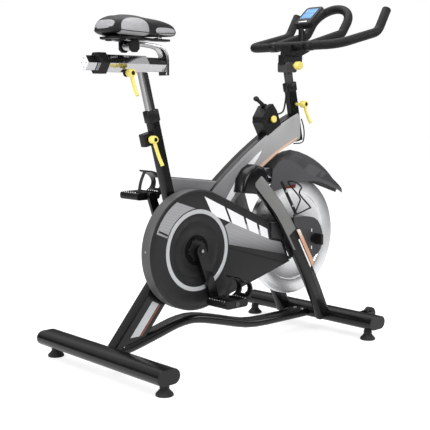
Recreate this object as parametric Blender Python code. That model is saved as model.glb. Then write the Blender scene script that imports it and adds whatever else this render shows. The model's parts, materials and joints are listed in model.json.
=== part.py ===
"""Indoor cycling exercise bike, built from separate parts.

Metres. +X is forward, towards the handlebar, +Y is the rider's left, and +Z is up.
Everything hangs from one empty, the stance centre, midway between the four feet on the floor.
"""
from math import atan2, cos, hypot, pi, radians, sin, tan

import bmesh
import bpy
from mathutils import Matrix, Vector

for old in list(bpy.data.objects):
    bpy.data.objects.remove(old)

# ---------------------------------------------------------------- driving dimensions
GAP = 0.0004                        # left between neighbours that touch
STANCE_X = -0.05314                 # stance centre, seen from the middle of the whole bike
FOOT_X, FOOT_Y = 0.447, 0.270       # levelling feet, from the stance centre
FOOT_R = 0.0255
STABILISER_X = 0.457
STABILISER_LEN = 0.606
STABILISER_W, STABILISER_H = 0.080, 0.045
STABILISER_Z = 0.0595
LOWER_W, LOWER_H = 0.056, 0.032
WHEEL_X, WHEEL_Y, WHEEL_Z = 0.524, 0.215, 0.067
WHEEL_RIM = 0.0240

CRANK_X, CRANK_Z = -0.146, 0.347
CRANK_LEN = 0.170
CRANK_DROP = 69.9                   # degrees below forward that the right arm points
ARM_Y = 0.0765                      # inner face of a crank arm
PEDAL_Y = 0.146                     # middle of a pedal
SHELL_R, SHELL_HALF = 0.030, 0.0272
DRIVE_R, DRIVEN_R = 0.095, 0.027
BELT_Y, BELT_W = -0.046, 0.016
FLY_X, FLY_Z, FLY_R, FLY_W = 0.349, 0.339, 0.203, 0.025

SEAT_LEAN = 14.5                    # degrees back from upright
SEAT_X0 = -0.1615                   # seat tube axis at the height of the cranks
SEAT_TUBE_TOP = 0.770
SEAT_TUBE_BASE = 0.370
SEAT_TUBE = (0.030, 0.034)          # across the bike, along the bike
SEAT_BORE = (0.0235, 0.0275)
SEAT_POST = (0.022, 0.026)
SEAT_POST_BASE = 0.580
SEAT_BOSS = (0.029, 0.040)          # clamp boss behind the seat tube
SEAT_BOSS_Z = 0.690
RAIL_Z = 0.911
RAIL_X0, RAIL_X1 = -0.508, -0.226
SLEEVE_X0, SLEEVE_X1 = -0.444, -0.294
COLLAR_X0 = -0.470
SADDLE_TILT_X, SADDLE_TILT_Z = -0.350, 0.962

HEAD_LEAN = 12.0
HEAD_X0 = 0.3775                    # head tube axis at the height HEAD_Z0
HEAD_Z0 = 0.667
HEAD_BASE, HEAD_TOP = 0.668, 0.862
BAR_POST_BASE = 0.700
BAR_R = 0.0155
BAR_X, BAR_Z, BAR_HALF = 0.345, 0.988, 0.205
LOOP_HALF = 0.080

MAIN_W = 0.050
STRUT_W, STRUT_DEPTH = 0.040, 0.085
LEG_Y, LEG_W, LEG_DEPTH = 0.094, 0.028, 0.050
CROWN_HALF = 0.048
GUARD_R, GUARD_Y0, GUARD_Y1, GUARD_WALL = 0.188, -0.070, -0.0285, 0.003
COVER_R, COVER_Y0, COVER_Y1 = 0.060, -0.106, -0.032

STANCE = bpy.data.objects.new("stance_centre", None)
STANCE.location = (STANCE_X, 0, 0)
bpy.context.scene.collection.objects.link(STANCE)


# ---------------------------------------------------------------- materials
def finish(name, colour, roughness, metallic=0.0):
    made = bpy.data.materials.new(name)
    made.use_nodes = True
    shader = made.node_tree.nodes["Principled BSDF"]
    shader.inputs["Base Color"].default_value = (*colour, 1)
    shader.inputs["Roughness"].default_value = roughness
    shader.inputs["Metallic"].default_value = metallic
    made.diffuse_color = (*colour, 1)
    return made


BLACK_PAINT = finish("black_paint", (0.012, 0.012, 0.014), 0.22)
BLACK_PLASTIC = finish("black_plastic", (0.02, 0.02, 0.022), 0.45)
GREY_PLASTIC = finish("grey_plastic", (0.07, 0.07, 0.075), 0.40)
DARK_PLASTIC = finish("dark_plastic", (0.035, 0.035, 0.038), 0.42)
RUBBER = finish("rubber", (0.015, 0.015, 0.015), 0.80)
GRIP = finish("grip", (0.018, 0.018, 0.019), 0.65)
CHROME = finish("chrome", (0.75, 0.76, 0.78), 0.10, 1.0)
STEEL = finish("steel", (0.55, 0.56, 0.58), 0.30, 1.0)
FLYWHEEL_STEEL = finish("flywheel_steel", (0.78, 0.79, 0.80), 0.28, 1.0)
YELLOW = finish("yellow_plastic", (0.80, 0.66, 0.10), 0.40)
SADDLE_SKIN = finish("saddle_skin", (0.02, 0.02, 0.022), 0.50)


# ---------------------------------------------------------------- outlines and paths
def arc(cx, cz, radius, start, stop, steps):
    """Points (x, z) on an arc, from start to stop in degrees."""
    turns = [radians(start + (stop - start) * i / steps) for i in range(steps + 1)]
    return [(cx + radius * cos(t), cz + radius * sin(t)) for t in turns]


def rounded(width, height, radius, steps=2):
    """A rounded rectangle (u, v), anticlockwise."""
    cu, cv = width / 2 - radius, height / 2 - radius
    points = []
    for start, su, sv in ((0, 1, 1), (90, -1, 1), (180, -1, -1), (270, 1, -1)):
        points += arc(su * cu, sv * cv, radius, start, start + 90, steps)
    return [p for i, p in enumerate(points) if hypot(p[0] - points[i - 1][0], p[1] - points[i - 1][1]) > 1e-5]


def grown(size, by):
    return tuple(s + 2 * by for s in size)


def smooth(points, per_span=4, closed=False):
    """A Catmull-Rom curve through the points, which are 2-D or 3-D."""
    given = [Vector(p) for p in points]
    count = len(given)
    spans = count if closed else count - 1
    curve = []
    for i in range(spans):
        if closed:
            a, b, c, d = (given[(i + k) % count] for k in (-1, 0, 1, 2))
        else:
            b, c = given[i], given[i + 1]
            a = given[i - 1] if i else b * 2 - c
            d = given[i + 2] if i + 2 < count else c * 2 - b
        for k in range(per_span):
            t = k / per_span
            curve.append((b * 2 + (c - a) * t + (a * 2 - b * 5 + c * 4 - d) * t ** 2
                          + (b * 3 - a - c * 3 + d) * t ** 3) / 2)
    if not closed:
        curve.append(given[-1])
    return [tuple(p) for p in curve]


def fillet(points, radius, steps=4):
    """The 3-D route through the points, with every inner corner turned into an arc of about this radius."""
    route = [Vector(p) for p in points]
    out = [route[0]]
    for before, corner, after in zip(route, route[1:], route[2:]):
        back, ahead = (before - corner).normalized(), (after - corner).normalized()
        half = back.angle(ahead) / 2
        reach = min(radius / tan(half), 0.49 * min((before - corner).length, (after - corner).length))
        start, stop = corner + back * reach, corner + ahead * reach
        for i in range(steps + 1):
            t = i / steps
            out.append(start * (1 - t) ** 2 + corner * (2 * t * (1 - t)) + stop * t ** 2)
    return out + [route[-1]]


def lean_point(x0, z0, lean, z):
    """The point (x, z) at height z on an axis that leans back from (x0, z0)."""
    return x0 - (z - z0) * tan(radians(lean)), z


def seat_axis(z):
    return lean_point(SEAT_X0, CRANK_Z, SEAT_LEAN, z)


def boss_axis(z):
    """The middle of the clamp boss behind the seat tube."""
    x, z = seat_axis(z)
    return x - SEAT_TUBE[1] / 2 - SEAT_BOSS[1] / 2 + 0.0015, z


def head_axis(z):
    return lean_point(HEAD_X0, HEAD_Z0, HEAD_LEAN, z)


# ---------------------------------------------------------------- solids
def loft(rings, closed=False):
    """Skin over equal rings of points; an open row of rings gets end caps."""
    bm = bmesh.new()
    rows = [[bm.verts.new(p) for p in ring] for ring in rings]
    pairs = list(zip(rows, rows[1:] + rows[:1])) if closed else list(zip(rows, rows[1:]))
    size = len(rows[0])
    for low, high in pairs:
        for i in range(size):
            bm.faces.new((low[i], low[(i + 1) % size], high[(i + 1) % size], high[i]))
    if not closed:
        bm.faces.new(rows[0][::-1])
        bm.faces.new(rows[-1])
    bmesh.ops.recalc_face_normals(bm, faces=bm.faces)
    return bm


def plate(outline, y0, y1):
    """An outline (x, z) extruded across the bike from y0 to y1."""
    return loft([[(x, y, z) for x, z in outline] for y in (y0, y1)])


def bar(outline, x0, x1):
    """An outline (y, z) extruded along the bike."""
    return loft([[(x, y, z) for y, z in outline] for x in (x0, x1)])


def box(low, high):
    return plate([(low[0], low[2]), (high[0], low[2]), (high[0], high[2]), (low[0], high[2])], low[1], high[1])


def sweep(path, sections):
    """Sections (across, deep) carried along a path; across stays as near to +Y as it can."""
    points = [Vector((p[0], 0, p[1])) if len(p) == 2 else Vector(p) for p in path]
    if not isinstance(sections[0][0], (list, tuple)):
        sections = [sections] * len(points)
    rings = []
    for i, point in enumerate(points):
        ahead = (points[min(i + 1, len(points) - 1)] - points[max(i - 1, 0)]).normalized()
        across = (Vector((0, 1, 0)) - ahead * ahead.y).normalized()
        deep = ahead.cross(across)
        rings.append([point + across * u + deep * v for u, v in sections[i]])
    return loft(rings)


def turned(profile, centre, steps=24, axis="Y"):
    """A profile (radius, along) turned about an axis through centre; it may start and end on the axis."""
    bm = bmesh.new()
    rows = []
    for radius, along in profile:
        if radius < 1e-6:
            rows.append([bm.verts.new((0, along, 0))])
        else:
            turns = [2 * pi * i / steps for i in range(steps)]
            rows.append([bm.verts.new((radius * cos(t), along, radius * sin(t))) for t in turns])
    ring = len(rows[0]) > 1
    for low, high in zip(rows, rows[1:] + (rows[:1] if ring else [])):
        for i in range(steps):
            quad = [low[i % len(low)], low[(i + 1) % len(low)], high[(i + 1) % len(high)], high[i % len(high)]]
            bm.faces.new(list(dict.fromkeys(quad)))
    turn = {"Y": Matrix(), "Z": Matrix.Rotation(pi / 2, 4, "X"), "X": Matrix.Rotation(-pi / 2, 4, "Z")}[axis]
    bmesh.ops.transform(bm, matrix=Matrix.Translation(centre) @ turn, verts=bm.verts)
    bmesh.ops.recalc_face_normals(bm, faces=bm.faces)
    return bm


def drum(radius, along0, along1, centre, steps=24, axis="Y"):
    """A plain cylinder; along0 and along1 are measured from centre."""
    return turned([(0, along0), (radius, along0), (radius, along1), (0, along1)], centre, steps, axis)


def node(name, bm, material, pivot=(0, 0, 0)):
    """A named part, with its origin at pivot."""
    bmesh.ops.translate(bm, verts=bm.verts, vec=-Vector(pivot))
    mesh = bpy.data.meshes.new(name)
    bm.to_mesh(mesh)
    bm.free()
    mesh.materials.append(material)
    made = bpy.data.objects.new(name, mesh)
    made.location = pivot
    made.parent = STANCE
    bpy.context.scene.collection.objects.link(made)
    return made


def shape_with(part, operation, bm):
    """Joins a shape to the part, or cuts it away, through a hidden helper object."""
    helper = node(part.name + "_tool", bm, part.data.materials[0])
    helper.hide_render = True
    helper.display_type = "WIRE"
    modifier = part.modifiers.new(helper.name, "BOOLEAN")
    modifier.operation = operation
    modifier.object = helper
    return part


def cut(part, *shapes):
    for bm in shapes:
        shape_with(part, "DIFFERENCE", bm)
    return part


def fuse(part, *shapes):
    for bm in shapes:
        shape_with(part, "UNION", bm)
    return part


def tube_curve(name, points, radius, material, resolution=2, closed=False):
    """A round tube along the points, as a bevelled curve."""
    data = bpy.data.curves.new(name, "CURVE")
    data.dimensions = "3D"
    data.bevel_depth = radius
    data.bevel_resolution = resolution
    data.render_resolution_u = 0
    data.use_fill_caps = not closed
    spline = data.splines.new("POLY")
    spline.use_cyclic_u = closed
    spline.points.add(len(points) - 1)
    for slot, point in zip(spline.points, points):
        slot.co = (*point, 1)
    data.materials.append(material)
    made = bpy.data.objects.new(name, data)
    made.parent = STANCE
    bpy.context.scene.collection.objects.link(made)
    return made


# ---------------------------------------------------------------- shared frame shapes
def stabiliser_shape(x, by=0.0):
    """A flat-oval tube lying across the bike."""
    outline = rounded(STABILISER_W + 2 * by, STABILISER_H + 2 * by, STABILISER_H / 2 + by, 4)
    half = STABILISER_LEN / 2 + by
    return plate([(x + u, STABILISER_Z + v) for u, v in outline], -half, half)


LOWER_PATH = smooth([(-0.440, 0.058), (-0.360, 0.071), (-0.250, 0.097), (-0.190, 0.112), (-0.130, 0.1185),
                     (-0.070, 0.111), (0.020, 0.089), (0.120, 0.064), (0.220, 0.057), (0.440, 0.057)], 2)


def lower_shape(by=0.0):
    return sweep(LOWER_PATH, rounded(LOWER_W + 2 * by, LOWER_H + 2 * by, LOWER_H / 2 + by, 3))


MAIN_AXIS = [(-0.150, 0.350), (-0.105, 0.400), (-0.030, 0.470), (0.047, 0.533), (0.141, 0.607),
             (0.246, 0.6685), (0.320, 0.702), (0.372, 0.722)]
MAIN_DEPTH = [0.062, 0.075, 0.095, 0.098, 0.086, 0.088, 0.092, 0.094]


def main_shape(by=0.0):
    """The deep main tube, from the cranks up to the head tube."""
    path = smooth(MAIN_AXIS, 3)
    depths = [d[0] for d in smooth([(depth, 0.0) for depth in MAIN_DEPTH], 3)]
    return sweep(path, [rounded(MAIN_W + 2 * by, depth + 2 * by, 0.012 + by, 2) for depth in depths])


def leaning_shape(axis, z0, z1, size, radius=0.006, by=0.0):
    """A rectangular tube along one of the two leaning axes."""
    wide, deep = grown(size, by)
    return sweep([axis(z0), axis(z1)], rounded(wide, deep, radius + by, 2))


def shell_shape(by=0.0):
    return drum(SHELL_R + by, -SHELL_HALF - by, SHELL_HALF + by, (CRANK_X, 0, CRANK_Z), 24)


def leg_route(side):
    heights = [(0.100, 0.050, 0.572), (0.146, 0.066, 0.512), (0.184, 0.084, 0.458), (0.213, LEG_Y, 0.410),
               (0.272, LEG_Y, 0.320), (0.345, LEG_Y, 0.200), (0.402, LEG_Y, 0.092), (0.418, LEG_Y, 0.056)]
    return smooth([(x, side * y, z) for x, y, z in heights], 2)


CROWN_OUTLINE = [(0.043, 0.512), (0.058, 0.558), (0.112, 0.592), (0.164, 0.560), (0.156, 0.520), (0.130, 0.500)]


def crown_shape(by=0.0):
    middle_x = sum(x for x, z in CROWN_OUTLINE) / len(CROWN_OUTLINE)
    middle_z = sum(z for x, z in CROWN_OUTLINE) / len(CROWN_OUTLINE)
    scale = 1 + by / 0.04
    outline = [(middle_x + (x - middle_x) * scale, middle_z + (z - middle_z) * scale) for x, z in CROWN_OUTLINE]
    return plate(outline, -CROWN_HALF - by, CROWN_HALF + by)


# ---------------------------------------------------------------- frame
def build_stabilisers():
    for name, x in (("rear_stabiliser", -STABILISER_X), ("front_stabiliser", STABILISER_X)):
        part = node(name, stabiliser_shape(x), BLACK_PAINT)
        end = FOOT_X if x > 0 else -FOOT_X
        if x > 0:
            weld_wheel_brackets(part)
        cut(part, *(drum(0.0065, 0.030, 0.062, (end, side * FOOT_Y, 0), 10, "Z") for side in (-1, 1)))


def build_feet():
    profile = [(0, 0), (FOOT_R, 0), (FOOT_R, 0.008), (0.016, 0.017), (0.013, 0.0365), (0.0055, 0.0365),
               (0.0055, 0.058), (0, 0.058)]
    for end, x in (("rear", -FOOT_X), ("front", FOOT_X)):
        for hand, y in (("right", -FOOT_Y), ("left", FOOT_Y)):
            node(f"{end}_{hand}_foot", turned(profile, (x, y, 0), 12, "Z"), RUBBER, (x, y, 0))


def weld_wheel_brackets(stabiliser):
    """Two ears and a pin for each transport wheel, welded to the front of the stabiliser."""
    ear = [(0.4700, 0.046), (0.520, 0.054), (0.532, 0.060), (0.532, 0.074), (0.520, 0.079), (0.4700, 0.077)]
    for side in (-1, 1):
        y = side * WHEEL_Y
        for y0, y1 in ((y - 0.0170, y - 0.0136), (y + 0.0136, y + 0.0170)):
            fuse(stabiliser, plate(ear, y0, y1))
        fuse(stabiliser, drum(0.0040, -0.0185, 0.0185, (WHEEL_X, y, WHEEL_Z), 12))


def build_transport_wheels():
    profile = [(0.0046, -0.0125), (0.0110, -0.0125), (0.0110, -0.0100), (WHEEL_RIM, -0.0100), (WHEEL_RIM, 0.0100),
               (0.0110, 0.0100), (0.0110, 0.0125), (0.0046, 0.0125)]
    for hand, side in (("right", -1), ("left", 1)):
        at = (WHEEL_X, side * WHEEL_Y, WHEEL_Z)
        node(f"{hand}_transport_wheel", turned(profile, at, 16), RUBBER, at)


def build_frame():
    cut(node("lower_beam", lower_shape(), BLACK_PAINT),
        stabiliser_shape(-STABILISER_X, GAP), stabiliser_shape(STABILISER_X, GAP))

    shell = node("bottom_bracket_shell", shell_shape(), BLACK_PAINT)
    cut(shell, drum(0.0215, -0.05, 0.05, (CRANK_X, 0, CRANK_Z), 20))
    ring = [(0.0098, -0.0268), (0.0211, -0.0268), (0.0211, 0.0268), (0.0098, 0.0268)]
    node("crank_bearing", turned(ring, (CRANK_X, 0, CRANK_Z), 20), STEEL)

    seat_tube = node("seat_tube", leaning_shape(seat_axis, SEAT_TUBE_BASE, SEAT_TUBE_TOP, SEAT_TUBE), BLACK_PAINT)
    fuse(seat_tube, leaning_shape(boss_axis, SEAT_BOSS_Z - 0.018, SEAT_BOSS_Z + 0.018, SEAT_BOSS))
    cut(seat_tube, leaning_shape(seat_axis, 0.470, 0.820, SEAT_BORE, 0.004))

    head = node("head_tube", leaning_shape(head_axis, HEAD_BASE, HEAD_TOP, SEAT_TUBE), BLACK_PAINT)
    cut(head, leaning_shape(head_axis, HEAD_BASE - 0.02, HEAD_TOP + 0.02, SEAT_BORE, 0.004))

    main = node("main_tube", main_shape(), BLACK_PAINT)
    cut(main, shell_shape(GAP), leaning_shape(head_axis, HEAD_BASE - 0.03, HEAD_TOP, SEAT_TUBE, by=GAP),
        box((0.366, -0.05, 0.60), (0.45, 0.05, 0.85)))
    cut(seat_tube, main_shape(GAP), shell_shape(GAP))

    up = radians(49.3)
    low = (-0.4125, 0.037)
    high = (CRANK_X - 0.020 * cos(up), CRANK_Z - 0.020 * sin(up))
    strut = node("rear_strut", sweep([low, high], rounded(STRUT_W, STRUT_DEPTH, 0.008, 2)), BLACK_PAINT)
    cut(strut, shell_shape(GAP), stabiliser_shape(-STABILISER_X, GAP), lower_shape(GAP), main_shape(GAP),
        leaning_shape(seat_axis, SEAT_TUBE_BASE - 0.03, SEAT_TUBE_TOP, SEAT_TUBE, by=GAP),
        box((-0.60, -0.05, 0.0), (0.0, 0.05, 0.070)))

    bridge = node("bridge_tube", sweep([(-0.216, 0.5505), (0.010, 0.5235)], rounded(0.028, 0.050, 0.006, 2)),
                  BLACK_PAINT)
    cut(bridge, leaning_shape(seat_axis, SEAT_TUBE_BASE, SEAT_TUBE_TOP, SEAT_TUBE, by=GAP), main_shape(GAP))

    cut(node("fork_crown", crown_shape(), BLACK_PAINT), main_shape(GAP))
    for hand, side in (("right", -1), ("left", 1)):
        section = rounded(LEG_W, LEG_DEPTH, 0.007, 2)
        leg = node(f"{hand}_fork_leg", sweep(leg_route(side), section), BLACK_PAINT)
        lug = [(0.262, 0.372), (0.349, 0.356), (0.366, 0.339), (0.349, 0.322), (0.300, 0.306)]
        fuse(leg, plate(lug, side * LEG_Y - 0.0035, side * LEG_Y + 0.0035))
        cut(leg, crown_shape(GAP), main_shape(GAP), stabiliser_shape(STABILISER_X, GAP),
            drum(0.0085, -0.02, 0.02, (FLY_X, side * LEG_Y, FLY_Z), 16))


# ---------------------------------------------------------------- drive
def guard_outline(inset=0.0, front=0.0):
    """The belt guard: round about the cranks, and drawn out forward to a notched front edge."""
    radius = GUARD_R - inset
    top, bottom = radians(66), radians(-75)
    upper = (CRANK_X + radius * cos(top), CRANK_Z + radius * sin(top))
    lower = (CRANK_X + radius * cos(bottom), CRANK_Z + radius * sin(bottom))
    x_top, x_low = 0.176 + front, 0.272 + front
    z_top = upper[1] - (x_top - upper[0]) * tan(radians(24))
    z_low = lower[1] + (x_low - lower[0]) * tan(radians(15))
    round_part = arc(CRANK_X, CRANK_Z, radius, 66, 285, 28)
    return round_part + [(x_low, z_low), (0.238 + front, 0.338), (0.180 + front, 0.352), (x_top, z_top)]


def build_guard():
    outer = node("belt_guard", plate(guard_outline(), GUARD_Y0, GUARD_Y1), DARK_PLASTIC)
    cut(outer, plate(guard_outline(GUARD_WALL, 0.05), GUARD_Y0 + GUARD_WALL, GUARD_Y1 + 0.02),
        drum(0.1138, -0.02, 0.02, (CRANK_X, GUARD_Y0, CRANK_Z), 32))
    back = node("belt_guard_back", plate(guard_outline(GUARD_WALL + GAP, -0.004), -0.0330, -0.0302), BLACK_PLASTIC)
    cut(back, drum(0.014, -0.02, 0.02, (CRANK_X, -0.032, CRANK_Z), 16),
        box((0.10, -0.04, 0.288), (0.30, -0.02, 0.420)))
    dish = [(0.0135, -0.0640), (0.104, -0.0640), (0.108, GUARD_Y0), (0.1132, GUARD_Y0), (0.1132, -0.0655),
            (0.108, -0.0610), (0.0135, -0.0610)]
    node("crank_cover", turned(dish, (CRANK_X, 0, CRANK_Z), 28), BLACK_PLASTIC)

    tunnel = [(0.183, 0.352), (0.182, 0.404), (0.256, 0.394), (0.305, 0.290), (0.2755, 0.270), (0.241, 0.340)]
    inner = [(0.150, 0.357), (0.150, 0.4050), (0.262, 0.3895), (0.340, 0.380), (0.340, 0.288), (0.278, 0.276),
             (0.200, 0.292)]
    part = node("belt_tunnel", plate(tunnel, -0.068, COVER_Y1), GREY_PLASTIC)
    cut(part, plate(inner, -0.065, COVER_Y1 + 0.01))


COVER_EDGE = [(-0.101, 0.078), (-0.044, 0.078), (-0.018, 0.076), (0.003, 0.071), (0.022, 0.060), (0.036, 0.042),
              (0.046, 0.020), (0.049, 0.000), (0.047, -0.022), (0.038, -0.042), (0.021, -0.057), (-0.002, -0.066),
              (-0.030, -0.070), (-0.060, -0.070)]


def cover_outline(inset=0.0):
    """The axle cover: flat on top, round in front, and running back behind the fork leg."""
    scale = 1 - inset / COVER_R
    return [(FLY_X + u * scale, FLY_Z + v * scale) for u, v in COVER_EDGE]


def build_axle_cover():
    part = node("axle_cover", plate(cover_outline(), COVER_Y0, COVER_Y1), GREY_PLASTIC)
    cut(part, plate(cover_outline(0.003), COVER_Y0 + 0.003, COVER_Y1 + 0.01))
    leg_space = sweep(leg_route(-1), rounded(LEG_W + 0.004, LEG_DEPTH + 0.004, 0.009, 2))
    back_line = [(0.150, 0.520), (0.262, 0.385), (0.312, 0.292), (0.395, 0.160), (0.150, 0.160)]
    cut(part, leg_space, plate(back_line, COVER_Y0 - 0.02, COVER_Y1 + 0.02),
        box((0.20, -0.0685, 0.286), (0.36, -0.02, 0.407)), box((0.20, -0.0985, 0.300), (0.36, -0.0895, 0.378)),
        drum(0.0065, -0.02, 0.02, (FLY_X, COVER_Y0, FLY_Z), 12))


def build_flywheel():
    centre = (FLY_X, 0, FLY_Z)
    rim, web = FLY_W / 2, 0.0075
    profile = [(0.0130, -0.022), (0.036, -0.022), (0.040, -web), (0.150, -web), (0.156, -rim), (FLY_R, -rim),
               (FLY_R, rim), (0.156, rim), (0.150, web), (0.040, web), (0.036, 0.022), (0.0130, 0.022)]
    node("flywheel", turned(profile, centre, 40), FLYWHEEL_STEEL, centre)
    y0, y1 = BELT_Y - 0.010, -0.0224
    pulley = [(0.0130, y0), (DRIVEN_R + 0.002, y0), (DRIVEN_R + 0.002, y0 + 0.001), (DRIVEN_R - 0.001, y0 + 0.0015),
              (DRIVEN_R - 0.001, y0 + 0.0185), (DRIVEN_R + 0.002, y0 + 0.019), (DRIVEN_R + 0.002, y0 + 0.020),
              (0.020, y0 + 0.020), (0.020, y1), (0.0130, y1)]
    node("driven_pulley", turned(pulley, centre, 18), STEEL, centre)
    node("flywheel_axle", turned([(0, -0.1010), (0.008, -0.1010), (0.008, -0.076), (0.0122, -0.076),
                                  (0.0122, 0.076), (0.008, 0.076), (0.008, 0.112), (0, 0.112)], centre, 16), STEEL)


def belt_outline(by):
    """The belt's run round the two pulleys."""
    span = FLY_X - CRANK_X
    rise = FLY_Z - CRANK_Z
    line = atan2(rise, span)
    open_angle = (DRIVE_R - DRIVEN_R) / hypot(span, rise)
    tilt = pi / 2 - open_angle
    first, last = (line + tilt) * 180 / pi, 360 + (line - tilt) * 180 / pi
    big = arc(CRANK_X, CRANK_Z, DRIVE_R + by, first, last, 28)
    small = arc(FLY_X, FLY_Z, DRIVEN_R + by, last - 360, first, 12)
    return big + small


def build_belt():
    belt = node("drive_belt", plate(belt_outline(0.0032), BELT_Y - BELT_W / 2, BELT_Y + BELT_W / 2), RUBBER)
    cut(belt, plate(belt_outline(0.0008), BELT_Y - BELT_W, BELT_Y + BELT_W))


def build_crankset():
    centre = (CRANK_X, 0, CRANK_Z)
    face = ARM_Y - GAP
    axle = [(0, -face), (0.0090, -face), (0.0090, face), (0, face)]
    node("crank_axle", turned(axle, centre, 16), STEEL, centre)
    y0, y1 = BELT_Y - 0.0095, BELT_Y + 0.0095
    wheel = [(0.0095, y0 + 0.003), (0.030, y0 + 0.003), (0.034, y0 + 0.006), (0.083, y0 + 0.006), (0.083, y0),
             (DRIVE_R, y0), (DRIVE_R, y1), (0.083, y1), (0.083, y1 - 0.006), (0.0095, y1 - 0.006)]
    node("drive_pulley", turned(wheel, centre, 28), STEEL, centre)
    for hand, side in (("right", -1), ("left", 1)):
        down = radians(-CRANK_DROP) if side < 0 else radians(180 - CRANK_DROP)
        tip = Vector((CRANK_X + CRANK_LEN * cos(down), 0, CRANK_Z + CRANK_LEN * sin(down)))
        inner, outer = side * ARM_Y, side * (ARM_Y + 0.013)
        big, small = 0.0185, 0.0145
        lead = down * 180 / pi
        outline = arc(CRANK_X, CRANK_Z, big, lead + 90, lead + 270, 8) + arc(tip.x, tip.z, small, lead - 90, lead + 90, 6)
        arm = node(f"{hand}_crank_arm", plate(outline, inner, outer), BLACK_PAINT, centre)
        cut(arm, drum(0.0078, -0.02, 0.02, (tip.x, outer, tip.z), 14))
        build_pedal(hand, side, (tip.x, side * PEDAL_Y, tip.z))


def build_pedal(hand, side, centre):
    """A cage pedal on its spindle, with a toe cage bolted to its front edge."""
    x, y, z = centre
    spindle = turned([(0, side * (ARM_Y + 0.0015 - PEDAL_Y)), (0.0070, side * (ARM_Y + 0.0015 - PEDAL_Y)),
                      (0.0070, 0.0), (0, 0.0)], centre, 12)
    inner = side * (ARM_Y + 0.020)
    outer = side * (PEDAL_Y + 0.040)
    y0, y1 = min(inner, outer), max(inner, outer)
    body = plate([(x + u, z + v) for u, v in rounded(0.092, 0.024, 0.008, 2)], y0, y1)
    pedal = node(f"{hand}_pedal", body, BLACK_PLASTIC, centre)
    for sign in (-1, 1):
        cut(pedal, box((x + sign * 0.025 - 0.013, y0 + 0.010, z - 0.03), (x + sign * 0.025 + 0.013, y1 - 0.010, z + 0.03)))
    fuse(pedal, spindle)
    outer_line = smooth([(0.0475, -0.010), (0.070, 0.012), (0.078, 0.038), (0.064, 0.063), (0.024, 0.078)], 2)
    inner_line = smooth([(0.0475, 0.010), (0.0645, 0.019), (0.0725, 0.038), (0.0600, 0.0580), (0.024, 0.0730)], 2)
    outline = [(x + u, z + v) for u, v in outer_line + inner_line[::-1]]
    cage = node(f"{hand}_toe_cage", plate(outline, y0 + 0.012, y1 - 0.012), BLACK_PLASTIC, centre)
    middle = (y0 + y1) / 2
    cut(cage, box((x + 0.030, middle - 0.014, z + 0.018), (x + 0.100, middle + 0.014, z + 0.052)))


# ---------------------------------------------------------------- brake, fender, cage
def build_fender():
    """A thin shell over the flywheel: a ridged roof whose crease runs down towards its beak."""
    ridge = smooth([(0.222, 0.588), (0.272, 0.622), (0.342, 0.637), (0.432, 0.614), (0.500, 0.581), (0.552, 0.543),
                    (0.593, 0.503), (0.609, 0.487)], 2)
    crease = smooth([(0.214, 0.578), (0.256, 0.609), (0.330, 0.590), (0.390, 0.553), (0.450, 0.535), (0.515, 0.515),
                     (0.580, 0.491), (0.606, 0.480)], 2)
    hem = smooth([(0.200, 0.500), (0.250, 0.510), (0.315, 0.522), (0.385, 0.528), (0.447, 0.523), (0.512, 0.506),
                  (0.578, 0.482), (0.605, 0.4715)], 2)
    widths = [w[0] for w in smooth([(0.044, 0), (0.047, 0), (0.048, 0), (0.048, 0), (0.045, 0), (0.038, 0), (0.026, 0),
                                    (0.016, 0)], 2)]
    rings = []
    for top, fold, low, half in zip(ridge, crease, hem, widths):
        wall = 0.003
        under = min(wall * 1.6, 0.3 * (top[1] - low[1]))
        middle = ((top[0] + fold[0]) / 2 + 0.003, (top[1] + fold[1]) / 2 + 0.003)
        outer = [(low[0], -half, low[1]), (fold[0], -half, fold[1]), (middle[0], -half * 0.62, middle[1]),
                 (top[0], 0, top[1]), (middle[0], half * 0.62, middle[1]), (fold[0], half, fold[1]),
                 (low[0], half, low[1])]
        thin, middle_y = half - wall, half * 0.62 - wall * 0.6
        inner = [(low[0], thin, low[1]), (fold[0], thin, fold[1] - under * 0.3),
                 (middle[0], middle_y, middle[1] - under * 0.7), (top[0], 0, top[1] - under),
                 (middle[0], -middle_y, middle[1] - under * 0.7), (fold[0], -thin, fold[1] - under * 0.3),
                 (low[0], -thin, low[1])]
        rings.append(outer + inner)
    node("flywheel_fender", loft(rings), GREY_PLASTIC)


BRAKE_PIVOT = (0.198, 0, 0.572)


def build_brake():
    x, y, z = BRAKE_PIVOT
    side_view = [(x - 0.009, z - 0.008), (x + 0.006, z - 0.012), (0.262, 0.524), (0.352, 0.522), (0.352, 0.560),
                 (0.262, 0.582), (x, z + 0.009), (x - 0.009, z + 0.004)]
    arm = node("brake_arm", plate(side_view, -0.0250, 0.0250), STEEL, BRAKE_PIVOT)
    slot = [(0.225, 0.400), (0.400, 0.400), (0.400, 0.568), (0.268, 0.568), (0.225, 0.552)]
    cut(arm, plate(slot, -0.0215, 0.0215))
    for side in (-1, 1):
        y0, y1 = sorted((side * 0.0180, side * 0.0250))
        fuse(arm, plate([(0.290, 0.506), (0.345, 0.506), (0.345, 0.530), (0.290, 0.530)], y0, y1))


def build_cage():
    """A wire bottle cage in front of the right fork leg."""
    loop = [(0.240, -0.118, 0.428), (0.300, -0.125, 0.446), (0.308, -0.125, 0.452), (0.256, -0.125, 0.498),
            (0.264, -0.125, 0.520), (0.244, -0.115, 0.538), (0.258, -0.072, 0.536), (0.272, -0.065, 0.524),
            (0.322, -0.065, 0.478), (0.320, -0.065, 0.458), (0.290, -0.072, 0.424)]
    tube_curve("bottle_cage", smooth(loop, 2, closed=True), 0.0026, BLACK_PAINT, 1, closed=True)


# ---------------------------------------------------------------- controls on the main tube
def control_point(u, v):
    """The point (x, z) on the control box, u along the main tube and v up from it."""
    lean = radians(30)
    return 0.228 + u * cos(lean) - v * sin(lean), 0.712 + u * sin(lean) + v * cos(lean)


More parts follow.
